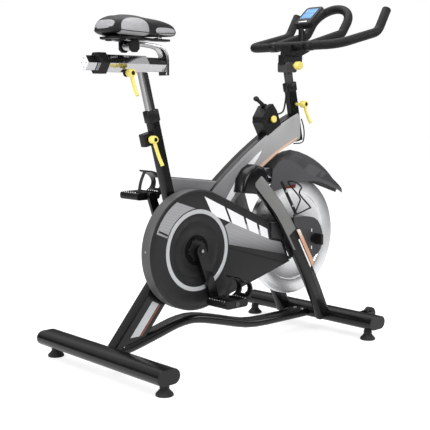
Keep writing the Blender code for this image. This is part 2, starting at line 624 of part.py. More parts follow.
def build_controls():
    half, slot_half = 0.024, 0.0065
    outline = [(-0.030, -0.010), (0.044, -0.010), (0.050, 0.040), (0.044, 0.070), (0.020, 0.074), (-0.020, 0.056),
               (-0.030, 0.040)]
    slot = [(0.012, 0.040), (0.070, 0.040), (0.070, 0.090), (0.012, 0.090)]
    pivot_x, pivot_z = control_point(0.034, 0.056)
    pivot = (pivot_x, 0, pivot_z)
    button_x, button_z = control_point(0.015, 0.028)
    button_at = (button_x, -half, button_z)
    housing = node("control_box", plate([control_point(u, v) for u, v in outline], -half, half), BLACK_PLASTIC)
    cut(housing, main_shape(GAP), plate([control_point(u, v) for u, v in slot], -slot_half, slot_half),
        drum(0.0036, -0.0145, 0.0145, pivot, 12), drum(0.0050, -0.005, 0.015, button_at, 12))

    tip_x, tip_z = control_point(0.004, 0.112)
    lever = node("resistance_lever", plate(rounded_line((pivot_x, pivot_z), (tip_x, tip_z), 0.0052), -0.004, 0.004),
                 BLACK_PLASTIC, pivot)
    ball = [(0, -0.0095), (0.006, -0.008), (0.0095, 0.0), (0.006, 0.008), (0, 0.0095)]
    fuse(lever, turned(ball, (tip_x, 0, tip_z), 12), drum(0.0030, -0.0135, 0.0135, pivot, 12))

    cap = [(0, -0.0120), (0.0115, -0.0120), (0.0115, -0.0045), (0.0042, -0.0045), (0.0042, 0.0060), (0, 0.0060)]
    node("stop_button", turned(cap, button_at, 16), YELLOW, button_at)


def rounded_line(start, stop, radius):
    """The outline of a bar with round ends, from start to stop."""
    lead = atan2(stop[1] - start[1], stop[0] - start[0]) * 180 / pi
    return arc(*start, radius, lead + 90, lead + 270, 4) + arc(*stop, radius, lead - 90, lead + 90, 4)


def build_cables():
    brake = smooth([(0.3985, 0.0, 0.742), (0.4045, -0.003, 0.722), (0.4080, -0.005, 0.700), (0.4055, -0.007, 0.679),
                    (0.3990, -0.008, 0.6630), (0.3840, -0.008, 0.6585), (0.3660, -0.008, 0.6580), (0.3520, -0.008, 0.6580)], 2)
    tube_curve("brake_cable", brake, 0.0022, BLACK_PLASTIC, 1)
    lead = smooth([(0.3145, -0.006, 0.856), (0.3100, -0.010, 0.840), (0.3060, -0.012, 0.815), (0.3000, -0.012, 0.785),
                   (0.2900, -0.014, 0.768), (0.2760, -0.014, 0.762), (0.2660, -0.014, 0.7600)], 2)
    tube_curve("sensor_lead", lead, 0.0030, BLACK_PLASTIC, 1)


# ---------------------------------------------------------------- seat
def rail_outline(by=0.0):
    """The six-sided slider: a narrow top and bottom, and an edge halfway up each side."""
    half_flat, half_wide, half_high = 0.0080 + by * 0.4, 0.0225 + by * 1.2, 0.0205 + by
    return [(half_flat, half_high), (-half_flat, half_high), (-half_wide, 0), (-half_flat, -half_high),
            (half_flat, -half_high), (half_wide, 0)]


def rail_bar(by, x0, x1):
    return bar([(y, RAIL_Z + z) for y, z in rail_outline(by)], x0, x1)


def build_seat():
    slide_at = (seat_axis(SEAT_TUBE_TOP)[0], 0, SEAT_TUBE_TOP)
    post = node("seat_post", leaning_shape(seat_axis, SEAT_POST_BASE, 0.905, SEAT_POST, 0.004), CHROME, slide_at)
    cut(post, rail_bar(0.0046, SLEEVE_X0 - 0.02, SLEEVE_X1 + 0.05))
    sleeve = node("slider_sleeve", rail_bar(0.0042, SLEEVE_X0, SLEEVE_X1), CHROME, slide_at)
    fuse(sleeve, rail_bar(0.0065, COLLAR_X0, SLEEVE_X0 + 0.002))
    cut(sleeve, rail_bar(0.0006, SLEEVE_X0 - 0.1, SLEEVE_X1 + 0.1))

    rail_at = (RAIL_X0, 0, RAIL_Z)
    node("slider_rail", rail_bar(0, RAIL_X0, RAIL_X1), CHROME, rail_at)
    path = fillet([(-0.2185, 0, 0.880), (-0.2185, 0, 0.962), (-0.300, 0, 0.9695), (-0.346, 0, 0.9695)], 0.045, 4)
    arm = node("saddle_arm", sweep([tuple(p) for p in path], rounded(0.042, 0.011, 0.0045, 2)), CHROME, rail_at)
    tilt = (SADDLE_TILT_X, 0, SADDLE_TILT_Z)
    fuse(arm, drum(0.0130, -0.0200, 0.0200, tilt, 16))
    cut(arm, drum(0.0052, -0.05, 0.05, tilt, 14))

    outline = [(SADDLE_TILT_X + u, SADDLE_TILT_Z + v) for u, v in
               ((-0.016, -0.010), (-0.006, -0.018), (0.008, -0.018), (0.017, -0.008), (0.017, 0.012), (0.008, 0.0195),
                (-0.008, 0.0195), (-0.016, 0.012))]
    clamp = node("saddle_base", plate(outline, -0.0290, 0.0290), BLACK_PLASTIC, tilt)
    cut(clamp, box((-0.45, -0.0212, 0.92), (-0.25, 0.0212, 1.0)))
    fuse(clamp, drum(0.0046, -0.027, 0.027, tilt, 12))
    tray = [(-0.432, 0.030), (-0.405, 0.055), (-0.370, 0.056), (-0.330, 0.040), (-0.280, 0.022), (-0.205, 0.014)]
    rim = [(x, y) for x, y in tray] + [(x, -y) for x, y in reversed(tray)]
    fuse(clamp, loft([[(x, y, z) for x, y in rim] for z in (0.9805, 0.9870)]))
    build_saddle(tilt)


def build_saddle(tilt):
    """The cushion: stations from tail to nose, each with its half width, top and lower edge."""
    stations = [(-0.4440, 0.022, 1.020, 1.004), (-0.4340, 0.052, 1.037, 0.996), (-0.4080, 0.074, 1.048, 0.990),
                (-0.3750, 0.081, 1.051, 0.988), (-0.3420, 0.072, 1.050, 0.988), (-0.3080, 0.051, 1.047, 0.989),
                (-0.2700, 0.034, 1.045, 0.991), (-0.2280, 0.026, 1.040, 0.993), (-0.1950, 0.020, 1.030, 0.995),
                (-0.1790, 0.010, 1.016, 0.999)]
    rings = []
    for x, half, top, low in stations:
        crown = [(half * cos(radians(a)), low + (top - low) * (0.18 + 0.82 * sin(radians(a)))) for a in range(0, 181, 20)]
        rings.append([(x, y, z) for y, z in [(half * 0.8, low)] + crown + [(-half * 0.8, low)]])
    node("saddle", loft(rings), SADDLE_SKIN, tilt)


# ---------------------------------------------------------------- handlebar
def build_bar_post():
    at = (head_axis(HEAD_TOP)[0], 0, HEAD_TOP)
    post = node("bar_post", leaning_shape(head_axis, BAR_POST_BASE, 0.915, SEAT_POST, 0.004), GREY_PLASTIC, at)
    middle = head_axis(0.917)[0]
    block = plate([(middle + u, 0.917 + v) for u, v in rounded(0.052, 0.034, 0.006, 2)], -0.021, 0.021)
    fuse(post, block)
    cut(post, box((0.20, -0.0132, 0.9265), (0.45, 0.0132, 0.95)))


def build_carriage():
    at = (BAR_X, 0, 0.9320)
    carriage = node("bar_carriage", box((0.2930, -0.0125, 0.9270), (0.3860, 0.0125, 0.9585)), GREY_PLASTIC, at)
    bracket = plate([(0.312, 0.9560), (0.372, 0.9560), (0.412, 0.9720), (0.412, 0.9920), (0.318, 0.9920)], -0.022, 0.022)
    fuse(carriage, bracket)
    cut(carriage, drum(BAR_R + GAP, -0.05, 0.05, (BAR_X, 0, BAR_Z), 24))
    fuse(carriage, sweep([(0.3965, 0.985), (0.3965, 1.046), (0.404, 1.062)], rounded(0.024, 0.014, 0.004, 2)))
    build_console(carriage, at)
    return at


def horn_route():
    """The outer bar: horn, rail, crossbar, rail and horn, from the rider's right to left."""
    side = [(0.601, BAR_HALF, 1.119), (0.552, BAR_HALF, 1.037), (BAR_X, BAR_HALF, BAR_Z)]
    points = [(x, -y, z) for x, y, z in side] + [(x, y, z) for x, y, z in reversed(side)]
    return fillet(points, 0.055, 5)


def build_handlebar(at):
    section = rounded(2 * BAR_R, 2 * BAR_R, BAR_R * 0.999, 2)
    route = [tuple(p) for p in horn_route()]
    node("handlebar", tube_along(route, section), GRIP, at)
    rise = Vector((0.512 - BAR_X, 0, 1.034 - BAR_Z))
    foot = Vector((BAR_X, LOOP_HALF, BAR_Z))
    bend = foot + rise
    lean = Vector((0.052, 0, 0.072)).normalized()
    top = [bend + lean * 0.045 + Vector((0, -LOOP_HALF, 0)) + Vector((0, LOOP_HALF * cos(t), 0))
           + lean * LOOP_HALF * 0.86 * sin(t) for t in (radians(a) for a in range(0, 91, 15))]
    half = fillet([foot, bend, top[0]], 0.030, 4) + top[1:]
    mirrored = [Vector((p.x, -p.y, p.z)) for p in reversed(half[:-1])]
    loop = node("handlebar_loop", tube_along([tuple(p) for p in half + mirrored], section), GRIP, at)
    cut(loop, drum(BAR_R + GAP, -0.19, 0.19, (BAR_X, 0, BAR_Z), 24),
        box((BAR_X - 0.05, -0.19, 0.90), (BAR_X + 0.003, 0.19, 1.02)))


def tube_along(route, section):
    """A section carried along a route that may turn in any direction, without twist."""
    points = [Vector(p) for p in route]
    rings = []
    side = None
    for i, point in enumerate(points):
        ahead = (points[min(i + 1, len(points) - 1)] - points[max(i - 1, 0)]).normalized()
        if side is None:
            side = ahead.orthogonal().normalized()
        side = (side - ahead * side.dot(ahead)).normalized()
        deep = ahead.cross(side)
        rings.append([point + side * u + deep * v for u, v in section])
    return loft(rings)


def build_console(stalk, at):
    lean = radians(40)
    middle = Vector((0.436, 0, 1.088))

    def face(u, v):
        return middle.x + u * cos(lean) - v * sin(lean), middle.z + u * sin(lean) + v * cos(lean)

    outline = [face(u, v) for u, v in rounded(0.100, 0.026, 0.008, 2)]
    node("console", plate(outline, -0.038, 0.038), BLACK_PLASTIC, at)
    cut(stalk, plate([face(u, v) for u, v in ((-0.06, -0.0134), (0.06, -0.0134), (0.06, 0.08), (-0.06, 0.08))],
                     -0.04, 0.04))


# ---------------------------------------------------------------- clamp levers and knobs
def build_lever(name, x, z, y0, lean, reach, stem):
    """A clamp lever on the rider's right: a stem across the bike, a hub, and an arm hanging from it."""
    pivot = (x, y0, z)
    profile = [(0, 0), (0.0050, 0), (0.0050, -stem), (0.0110, -stem), (0.0120, -stem - 0.004),
               (0.0120, -stem - 0.018), (0.0100, -stem - 0.022), (0, -stem - 0.022)]
    part = node(name, turned(profile, pivot, 16), YELLOW, pivot)
    hub_y = y0 - stem - 0.012
    bend = ((0.0, 0.0), (0.3, 0.003), (0.7, 0.009), (1.0, 0.017))
    route = smooth([(x + t * reach * sin(lean), hub_y - out, z - t * reach * cos(lean)) for t, out in bend], 2)
    fuse(part, tube_along(route, rounded(0.0125, 0.0105, 0.004, 1)))


def build_levers():
    x, z = boss_axis(SEAT_BOSS_Z)
    build_lever("seat_height_lever", x, z, -SEAT_BOSS[0] / 2 - GAP, radians(14), 0.080, 0.005)
    build_lever("seat_slide_lever", -0.372, 0.884, -0.0120, radians(8), 0.066, 0.014)
    x, z = head_axis(0.793)
    build_lever("bar_height_lever", x, z, -SEAT_TUBE[0] / 2 - GAP, radians(14), 0.066, 0.028)
    x = head_axis(0.917)[0] + 0.006
    pivot = (x, -0.0214, 0.922)
    knob = [(0, 0), (0.0045, 0), (0.0045, -0.012), (0.0130, -0.013), (0.0140, -0.018), (0.0140, -0.032),
            (0.0120, -0.036), (0, -0.036)]
    node("bar_slide_knob", turned(knob, pivot, 14), YELLOW, pivot)


def build_hub_knob():
    centre = (FLY_X, COVER_Y0, FLY_Z)
    profile = [(0, 0.0045), (0.0050, 0.0045), (0.0050, -0.0006), (0.0150, -0.0006), (0.0150, -0.010), (0, -0.010)]
    part = node("hub_knob", turned(profile, centre, 20), BLACK_PLASTIC, centre)
    grip = plate([(FLY_X + u, FLY_Z + v) for u, v in rounded(0.012, 0.038, 0.004, 1)], COVER_Y0 - 0.040, COVER_Y0 - 0.006)
    fuse(part, grip)


build_stabilisers()
build_feet()
build_transport_wheels()
build_frame()
build_guard()
build_axle_cover()
build_flywheel()
build_belt()
build_crankset()
build_fender()
build_brake()
build_cage()
build_controls()
build_cables()
build_seat()
build_bar_post()
carriage_at = build_carriage()
build_handlebar(carriage_at)
build_levers()
build_hub_knob()
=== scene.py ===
import json
from math import atan2, cos, hypot, pi, radians, sin, tan

import bmesh
import bpy
from mathutils import Matrix, Vector


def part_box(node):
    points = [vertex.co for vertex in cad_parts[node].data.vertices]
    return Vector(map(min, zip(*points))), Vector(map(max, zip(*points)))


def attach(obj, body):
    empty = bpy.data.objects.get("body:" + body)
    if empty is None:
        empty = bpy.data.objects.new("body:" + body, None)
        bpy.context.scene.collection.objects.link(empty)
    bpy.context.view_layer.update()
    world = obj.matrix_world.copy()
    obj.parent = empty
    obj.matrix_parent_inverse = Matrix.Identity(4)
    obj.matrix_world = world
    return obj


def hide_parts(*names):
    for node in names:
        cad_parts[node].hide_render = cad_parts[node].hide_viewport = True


# Everything added below is built in stance coordinates, measured from midway between the feet.
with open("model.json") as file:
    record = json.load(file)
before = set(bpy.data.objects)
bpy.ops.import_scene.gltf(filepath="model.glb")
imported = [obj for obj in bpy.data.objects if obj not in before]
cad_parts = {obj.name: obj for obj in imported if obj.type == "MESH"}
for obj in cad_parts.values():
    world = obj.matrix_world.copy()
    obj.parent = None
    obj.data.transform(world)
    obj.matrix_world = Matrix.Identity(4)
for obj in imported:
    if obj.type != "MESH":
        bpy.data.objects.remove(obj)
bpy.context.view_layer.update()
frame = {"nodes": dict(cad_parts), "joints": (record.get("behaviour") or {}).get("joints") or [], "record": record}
NODES = frame["nodes"]
BODY = {node: body for body, members in frame["record"]["behaviour"]["bodies"].items() for node in members}
FLY_X, FLY_Z = 0.349, 0.339
CRANK_X, CRANK_Z = -0.146, 0.347
CRANK_LENGTH = 0.170
CRANK_TURN = radians(-69.9)
GUARD_FACE = -0.0700
RAIL_Z = 0.911
fly_low, fly_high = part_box("flywheel")
SHIFT = (fly_low.x + fly_high.x) / 2 - FLY_X
SCENE = bpy.context.scene


# ---------------------------------------------------------------- materials
class Graph:
    """A small helper for building one material's nodes."""

    def __init__(self, name):
        self.material = bpy.data.materials.new(name)
        self.material.use_nodes = True
        self.tree = self.material.node_tree
        self.shader = self.tree.nodes["Principled BSDF"]
        self.place = self.add("ShaderNodeTexCoord").outputs["Object"]

    def add(self, kind, **settings):
        made = self.tree.nodes.new(kind)
        for key, value in settings.items():
            setattr(made, key, value)
        return made

    def plug(self, value, socket):
        if isinstance(value, bpy.types.NodeSocket):
            self.tree.links.new(value, socket)
        else:
            socket.default_value = value

    def math(self, operation, a, b=0.0, c=0.0, clamp=False):
        made = self.add("ShaderNodeMath", operation=operation, use_clamp=clamp)
        for value, socket in zip((a, b, c), made.inputs):
            self.plug(value, socket)
        return made.outputs[0]

    def axes(self):
        made = self.add("ShaderNodeSeparateXYZ")
        self.plug(self.place, made.inputs[0])
        return made.outputs[0], made.outputs[1], made.outputs[2]

    def vector(self, x, y, z):
        made = self.add("ShaderNodeCombineXYZ")
        for value, socket in zip((x, y, z), made.inputs):
            self.plug(value, socket)
        return made.outputs[0]

    def noise(self, scale, detail=3.0, where=None, rough=0.5):
        made = self.add("ShaderNodeTexNoise")
        self.plug(where or self.place, made.inputs["Vector"])
        made.inputs["Scale"].default_value = scale
        made.inputs["Detail"].default_value = detail
        made.inputs["Roughness"].default_value = rough
        return made.outputs["Fac"]

    def span(self, value, low, high, to_low=0.0, to_high=1.0):
        made = self.add("ShaderNodeMapRange", interpolation_type="SMOOTHSTEP")
        self.plug(value, made.inputs["Value"])
        for key, number in (("From Min", low), ("From Max", high), ("To Min", to_low), ("To Max", to_high)):
            made.inputs[key].default_value = number
        return made.outputs["Result"]

    def blend(self, factor, a, b):
        made = self.add("ShaderNodeMix", data_type="RGBA")
        self.plug(factor, made.inputs["Factor"])
        for value, socket in ((a, made.inputs["A"]), (b, made.inputs["B"])):
            self.plug(value if isinstance(value, bpy.types.NodeSocket) else (*value, 1), socket)
        return made.outputs["Result"]

    def bump(self, height, distance, strength=1.0):
        made = self.add("ShaderNodeBump")
        made.inputs["Distance"].default_value = distance
        made.inputs["Strength"].default_value = strength
        self.plug(height, made.inputs["Height"])
        self.tree.links.new(made.outputs["Normal"], self.shader.inputs["Normal"])

    def done(self, colour, roughness, metallic=0.0, coat=0.0, coat_roughness=0.08, specular=0.5):
        if not isinstance(colour, bpy.types.NodeSocket):
            colour = (*colour, 1)
        self.plug(colour, self.shader.inputs["Base Color"])
        self.plug(roughness, self.shader.inputs["Roughness"])
        self.plug(metallic, self.shader.inputs["Metallic"])
        self.shader.inputs["Coat Weight"].default_value = coat
        self.shader.inputs["Coat Roughness"].default_value = coat_roughness
        self.shader.inputs["Specular IOR Level"].default_value = specular
        return self.material


def surface(name, colour, roughness, metallic=0.0, coat=0.0, grain=900.0, depth=0.00003, vary=0.12,
            specular=0.5):
    """A finish with soft colour variation, uneven gloss, and a fine grain."""
    g = Graph(name)
    soft = g.noise(14.0, 4.0)
    lighter = tuple(min(1.0, c * (1 + vary) + 0.002) for c in colour)
    darker = tuple(c * (1 - vary) for c in colour)
    g.bump(g.noise(grain, 2.0), depth)
    gloss = g.span(g.noise(45.0, 5.0), 0.3, 0.7, roughness * 0.85, min(1.0, roughness * 1.18))
    return g.done(g.blend(soft, darker, lighter), gloss, metallic, coat, specular=specular)


def turned_steel(name, colour, roughness, centre, depth=0.00004):
    """Metal turned on a lathe about a crosswise axis, with fine rings and a painted reflection: broad bands round
    the axis that darken the colour by angle.
    """
    g = Graph(name)
    x, _, z = g.axes()
    across, up = g.math("SUBTRACT", x, centre[0]), g.math("SUBTRACT", z, centre[1])
    radius = g.math("SQRT", g.math("ADD", g.math("MULTIPLY", across, across), g.math("MULTIPLY", up, up)))
    rings = g.noise(1500.0, 2.0, g.vector(radius, 0.0, 0.0))
    # Painted reflection: broad bands round the axis, darker or lighter by angle.
    painted_sheen = g.noise(5.0, 2.0, g.vector(g.math("ARCTAN2", up, across), 0.0, 0.0))
    g.bump(rings, depth)
    tint = g.blend(g.span(rings, 0.3, 0.7), tuple(c * 0.93 for c in colour), colour)
    tint = g.blend(g.span(painted_sheen, 0.35, 0.65), tuple(c * 0.90 for c in colour), tint)
    g.shader.inputs["Anisotropic"].default_value = 0.5
    return g.done(tint, g.span(rings, 0.2, 0.8, roughness * 0.8, roughness * 1.3), 1.0)


def two_tone(name, side_low, side_high, x0, x1):
    """Gloss paint whose flat sides grow lighter from x0 to x1."""
    g = Graph(name)
    x, _, _ = g.axes()
    tint = g.blend(g.span(x, x0, x1), side_low, side_high)
    flake = g.noise(5200.0, 1.0)
    tint = g.blend(g.span(flake, 0.4, 0.8, 0.0, 0.18), tint, tuple(min(1.0, c * 1.25) for c in side_high))
    g.bump(g.noise(500.0, 2.0), 0.000010)
    return g.done(tint, g.span(g.noise(9.0), 0.3, 0.7, 0.38, 0.44), 0.0, 0.12, specular=0.3)


def fading(name, start, end, low, high, axis="x", roughness=0.32):
    """A print that fades from one colour to another along x or z."""
    g = Graph(name)
    x, _, z = g.axes()
    tint = g.blend(g.span(x if axis == "x" else z, low, high), start, end)
    g.bump(g.noise(800.0), 0.00001)
    return g.done(tint, roughness, 0.0, 0.3)


def dotted(name, base, dot, pitch, fade_low, fade_high, fall):
    """A print of small dots on a dark panel; the dots fade out downwards as the panel runs forward."""
    g = Graph(name)
    x, _, z = g.axes()
    row = g.math("MULTIPLY", z, 1 / pitch)
    shift = g.math("MULTIPLY", g.math("MODULO", g.math("FLOOR", row), 2.0), 0.5)
    column = g.math("ADD", g.math("MULTIPLY", x, 1 / pitch), shift)
    du = g.math("SUBTRACT", g.math("FRACT", g.math("ADD", column, 100.0)), 0.5)
    dv = g.math("SUBTRACT", g.math("FRACT", row), 0.5)
    far = g.math("SQRT", g.math("ADD", g.math("MULTIPLY", du, du), g.math("MULTIPLY", dv, dv)))
    spot = g.span(far, 0.24, 0.36, 1.0, 0.0)
    level = g.math("ADD", z, g.math("MULTIPLY", x, fall))
    fade = g.span(level, fade_low, fade_high)
    pale = g.blend(spot, tuple(c * 0.62 for c in dot), dot)
    deep = g.blend(spot, base, tuple(c * 2.2 for c in base))
    g.bump(spot, 0.00006)
    return g.done(g.blend(fade, deep, pale), 0.42, 0.0, 0.1)


def hide_like(name, colour, grain=520.0, depth=0.00022, roughness=0.5):
    """Vinyl with a pebbled grain, darker in colour along the grain's creases as painted shade."""
    g = Graph(name)
    cells = g.add("ShaderNodeTexVoronoi", feature="DISTANCE_TO_EDGE")
    g.plug(g.place, cells.inputs["Vector"])
    cells.inputs["Scale"].default_value = grain
    creases = g.span(cells.outputs["Distance"], 0.0, 0.22)
    g.bump(g.math("ADD", creases, g.math("MULTIPLY", g.noise(60.0, 4.0), 1.5)), depth)
    tint = g.blend(g.noise(16.0, 4.0), tuple(c * 0.8 for c in colour), tuple(c * 1.25 for c in colour))
    # The colour is darker along the grain's creases, a painted shade.
    return g.done(g.blend(creases, tuple(c * 0.6 for c in colour), tint), roughness, 0.0, specular=0.28)


def saddle_cover():
    """Black pebbled vinyl with silver woven panels at the tail, the wings and the nose."""
    g = Graph("saddle_cover")
    x, y, z = g.axes()

    def oval(u, v, cu, cv, ru, rv):
        du = g.math("MULTIPLY", g.math("SUBTRACT", u, cu), 1 / ru)
        dv = g.math("MULTIPLY", g.math("SUBTRACT", v, cv), 1 / rv)
        power = g.math("ADD", g.math("POWER", g.math("ABSOLUTE", du), 2.6),
                       g.math("POWER", g.math("ABSOLUTE", dv), 2.6))
        return g.span(power, 0.93, 1.05, 1.0, 0.0)

    side = g.math("ABSOLUTE", y)
    wing = g.math("MULTIPLY", oval(x, z, -0.372, 1.008, 0.052, 0.031), g.span(side, 0.034, 0.038))
    nose = oval(x, z, -0.232, 1.0085, 0.046, 0.0110)
    tail = g.math("MULTIPLY", oval(y, z, 0.0, 1.021, 0.046, 0.0125), g.span(x, -0.408, -0.412))
    panel = g.math("MAXIMUM", g.math("MAXIMUM", wing, nose), tail)
    weave = g.math("MULTIPLY", g.math("SINE", g.math("MULTIPLY", x, 3200.0)),
                   g.math("SINE", g.math("MULTIPLY", z, 3200.0)))
    cells = g.add("ShaderNodeTexVoronoi", feature="DISTANCE_TO_EDGE")
    g.plug(g.place, cells.inputs["Vector"])
    cells.inputs["Scale"].default_value = 560.0
    creases = g.span(cells.outputs["Distance"], 0.0, 0.22)
    edge = g.math("MULTIPLY", g.math("MULTIPLY", panel, g.math("SUBTRACT", 1.0, panel)), 4.0)
    height = g.math("SUBTRACT", g.math("ADD", creases, g.math("MULTIPLY", weave, 0.15)),
                    g.math("MULTIPLY", edge, 3.0))
    g.bump(height, 0.00018)
    # Painted shade: the black vinyl is darker along the grain's creases.
    black = g.blend(creases, (0.002, 0.002, 0.0025), (0.006, 0.006, 0.007))
    silver = g.blend(g.span(weave, -0.5, 0.5), (0.30, 0.30, 0.31), (0.46, 0.46, 0.47))
    return g.done(g.blend(panel, black, silver), 0.36, specular=0.32)


def screen_face():
    """A pale blue display with plain segment bars, which spell nothing."""
    g = Graph("screen_face")
    _, y, z = g.axes()
    rows = g.math("FRACT", g.math("MULTIPLY", z, 62.0))
    bars = g.math("MULTIPLY", g.span(rows, 0.30, 0.34), g.span(rows, 0.62, 0.66, 1.0, 0.0))
    columns = g.math("FRACT", g.math("ADD", g.math("MULTIPLY", y, 105.0), 0.5))
    marks = g.math("MULTIPLY", bars, g.math("MULTIPLY", g.span(columns, 0.2, 0.25),
                                            g.span(columns, 0.75, 0.8, 1.0, 0.0)))
    tint = g.blend(g.noise(30.0), (0.08, 0.24, 0.52), (0.14, 0.36, 0.68))
    tint = g.blend(g.math("MULTIPLY", marks, 0.55), tint, (0.02, 0.06, 0.14))
    g.plug(tint, g.shader.inputs["Emission Color"])
    g.shader.inputs["Emission Strength"].default_value = 0.25
    return g.done(tint, 0.12, 0.0, 0.6)


BLACK = surface("gloss_black_paint", (0.004, 0.004, 0.0045), 0.20, grain=420.0, depth=0.00002,
                specular=0.32)
GREY_SIDE = two_tone("silver_grey_paint", (0.17, 0.17, 0.175), (0.37, 0.37, 0.375), -0.05, 0.30)
LEG_SIDE = surface("leg_grey_paint", (0.175, 0.174, 0.170), 0.40, grain=500.0, depth=0.00002, vary=0.05,
                   specular=0.3)
# Painted highlight: a lighter copy of the guard plastic for the guard's rear rim band, standing in for reflected
# light.
GUARD_RIM_HIGHLIGHT = surface("guard_rim_painted_highlight", (0.085, 0.085, 0.087), 0.42, grain=1300.0, depth=0.00006,
                    vary=0.06, specular=0.3)
SATIN_BLACK = surface("satin_black_plastic", (0.004, 0.004, 0.0045), 0.38, grain=1400.0, depth=0.00006,
                      specular=0.28)
SOFT_BLACK = surface("soft_black_plastic", (0.010, 0.010, 0.011), 0.44, grain=1100.0, depth=0.00008,
                     specular=0.30)
GUARD = surface("guard_plastic", (0.0125, 0.0125, 0.0130), 0.40, grain=1300.0, depth=0.00008, vary=0.10,
                specular=0.32)
MID_GREY = surface("mid_grey_plastic", (0.048, 0.048, 0.050), 0.42, grain=1200.0, depth=0.00006, vary=0.08,
                   specular=0.3)
FENDER = surface("fender_plastic", (0.040, 0.040, 0.042), 0.36, specular=0.35, grain=1200.0, depth=0.00004,
                 vary=0.10)
# Painted light: a lighter copy of the fender plastic for the fender's flat sides, standing in for how light falls
# on them.
FENDER_LIT_SIDE = surface("fender_side_painted_light", (0.072, 0.072, 0.075), 0.42, grain=1200.0, depth=0.00004, vary=0.06,
                      specular=0.3)
# Painted shadow: a near-black sheet for recesses and holes, standing in for shade.
PAINTED_SHADOW = surface("shadow_black", (0.0015, 0.0015, 0.0015), 0.6, grain=1200.0, depth=0.00004, specular=0.1)
RUBBER = surface("black_rubber", (0.012, 0.012, 0.012), 0.75, grain=700.0, depth=0.00012, vary=0.25)
CHROME = surface("chrome_plate", (0.52, 0.52, 0.53), 0.07, 1.0, grain=90.0, depth=0.00001, vary=0.03)
STEEL = surface("brushed_steel", (0.52, 0.53, 0.55), 0.32, 1.0, grain=1200.0, depth=0.00004)
YELLOW = surface("pale_yellow_plastic", (0.86, 0.72, 0.16), 0.38, coat=0.2, grain=900.0, depth=0.00004,
                 vary=0.06)
FLY_STEEL = turned_steel("turned_flywheel", (0.86, 0.865, 0.875), 0.30, (FLY_X, FLY_Z))
WHITE = surface("white_print", (0.84, 0.84, 0.85), 0.35, grain=900.0, depth=0.00001, vary=0.03)
PALE = surface("pale_grey_print", (0.50, 0.51, 0.52), 0.34, 0.2, coat=0.2, vary=0.05)
ORANGE = surface("dark_red_print", (0.22, 0.045, 0.025), 0.35, vary=0.10)
RED = surface("red_felt", (0.30, 0.03, 0.02), 0.85, grain=1800.0, depth=0.0002)
COPPER_FADE = fading("copper_fade", (0.30, 0.29, 0.285), (0.80, 0.50, 0.34), 0.05, 0.30)
CREAM_FADE = fading("cream_fade", (0.90, 0.87, 0.84), (0.62, 0.33, 0.20), 0.40, 0.33, "z")
DOTS = dotted("guard_dots", (0.020, 0.020, 0.022), (0.42, 0.42, 0.43), 0.0044, 0.300, 0.395, 0.12)
LEG_DOTS = dotted("leg_dots", (0.012, 0.012, 0.013), (0.03, 0.03, 0.03), 0.0040, 0.90, 0.95, 0.0)
GRIP = hide_like("grip_rubber", (0.0045, 0.0045, 0.0050), 700.0, 0.00012, 0.50)
SCREEN = screen_face()
COVER = saddle_cover()


# ---------------------------------------------------------------- shapes
def arc(cx, cz, radius, start, stop, steps):
    turns = [radians(start + (stop - start) * i / steps) for i in range(steps + 1)]
    return [(cx + radius * cos(t), cz + radius * sin(t)) for t in turns]


def rounded(width, height, radius, steps=5):
    cu, cv = width / 2 - radius, height / 2 - radius
    points = []
    for start, su, sv in ((0, 1, 1), (90, -1, 1), (180, -1, -1), (270, 1, -1)):
        points += arc(su * cu, sv * cv, radius, start, start + 90, steps)
    return points


def smooth(points, per_span=8, closed=False):
    """A Catmull-Rom curve through the points."""
    given = [Vector(p) for p in points]
    count = len(given)
    curve = []
    for i in range(count if closed else count - 1):
        if closed:
            a, b, c, d = (given[(i + k) % count] for k in (-1, 0, 1, 2))
        else:
            b, c = given[i], given[i + 1]
            a = given[i - 1] if i else b * 2 - c
            d = given[i + 2] if i + 2 < count else c * 2 - b
        for k in range(per_span):
            t = k / per_span
            curve.append((b * 2 + (c - a) * t + (a * 2 - b * 5 + c * 4 - d) * t ** 2
                          + (b * 3 - a - c * 3 + d) * t ** 3) / 2)
    return curve if closed else curve + [given[-1]]


def fillet(points, radius, steps=8):
    route = [Vector(p) for p in points]
    out = [route[0]]
    for before, corner, after in zip(route, route[1:], route[2:]):
        back, ahead = (before - corner).normalized(), (after - corner).normalized()
        reach = min(radius / tan(back.angle(ahead) / 2),
                    0.49 * min((before - corner).length, (after - corner).length))
        start, stop = corner + back * reach, corner + ahead * reach
        for i in range(steps + 1):
            t = i / steps
            out.append(start * (1 - t) ** 2 + corner * (2 * t * (1 - t)) + stop * t ** 2)
    return out + [route[-1]]


def loft(rings, closed=False, capped=True):
    bm = bmesh.new()
    rows = [[bm.verts.new(p) for p in ring] for ring in rings]
    size = len(rows[0])
    for low, high in zip(rows, rows[1:] + (rows[:1] if closed else [])):
        for i in range(size):
            bm.faces.new((low[i], low[(i + 1) % size], high[(i + 1) % size], high[i]))
    if capped and not closed:
        bm.faces.new(rows[0][::-1])
        bm.faces.new(rows[-1])
    return bm


def plate(outline, y0, y1):
    return loft([[(x, y, z) for x, z in outline] for y in (y0, y1)])


def turned(profile, centre, steps=64, axis="Y"):
    """A profile (radius, along) turned about an axis through centre; a radius of 0 closes it."""
    bm = bmesh.new()
    rows = []
    for radius, along in profile:
        if radius < 1e-6:
            rows.append([bm.verts.new((0, along, 0))])
        else:
            turns = [2 * pi * i / steps for i in range(steps)]
            rows.append([bm.verts.new((radius * cos(t), along, radius * sin(t))) for t in turns])
    ring = len(rows[0]) > 1
    for low, high in zip(rows, rows[1:] + (rows[:1] if ring else [])):
        for i in range(steps):
            quad = [low[i % len(low)], low[(i + 1) % len(low)], high[(i + 1) % len(high)],
                    high[i % len(high)]]
            bm.faces.new(list(dict.fromkeys(quad)))
    turn = {"Y": Matrix(), "Z": Matrix.Rotation(pi / 2, 4, "X"),
            "X": Matrix.Rotation(-pi / 2, 4, "Z")}[axis]
    bmesh.ops.transform(bm, matrix=Matrix.Translation(centre) @ turn, verts=bm.verts)
    return bm


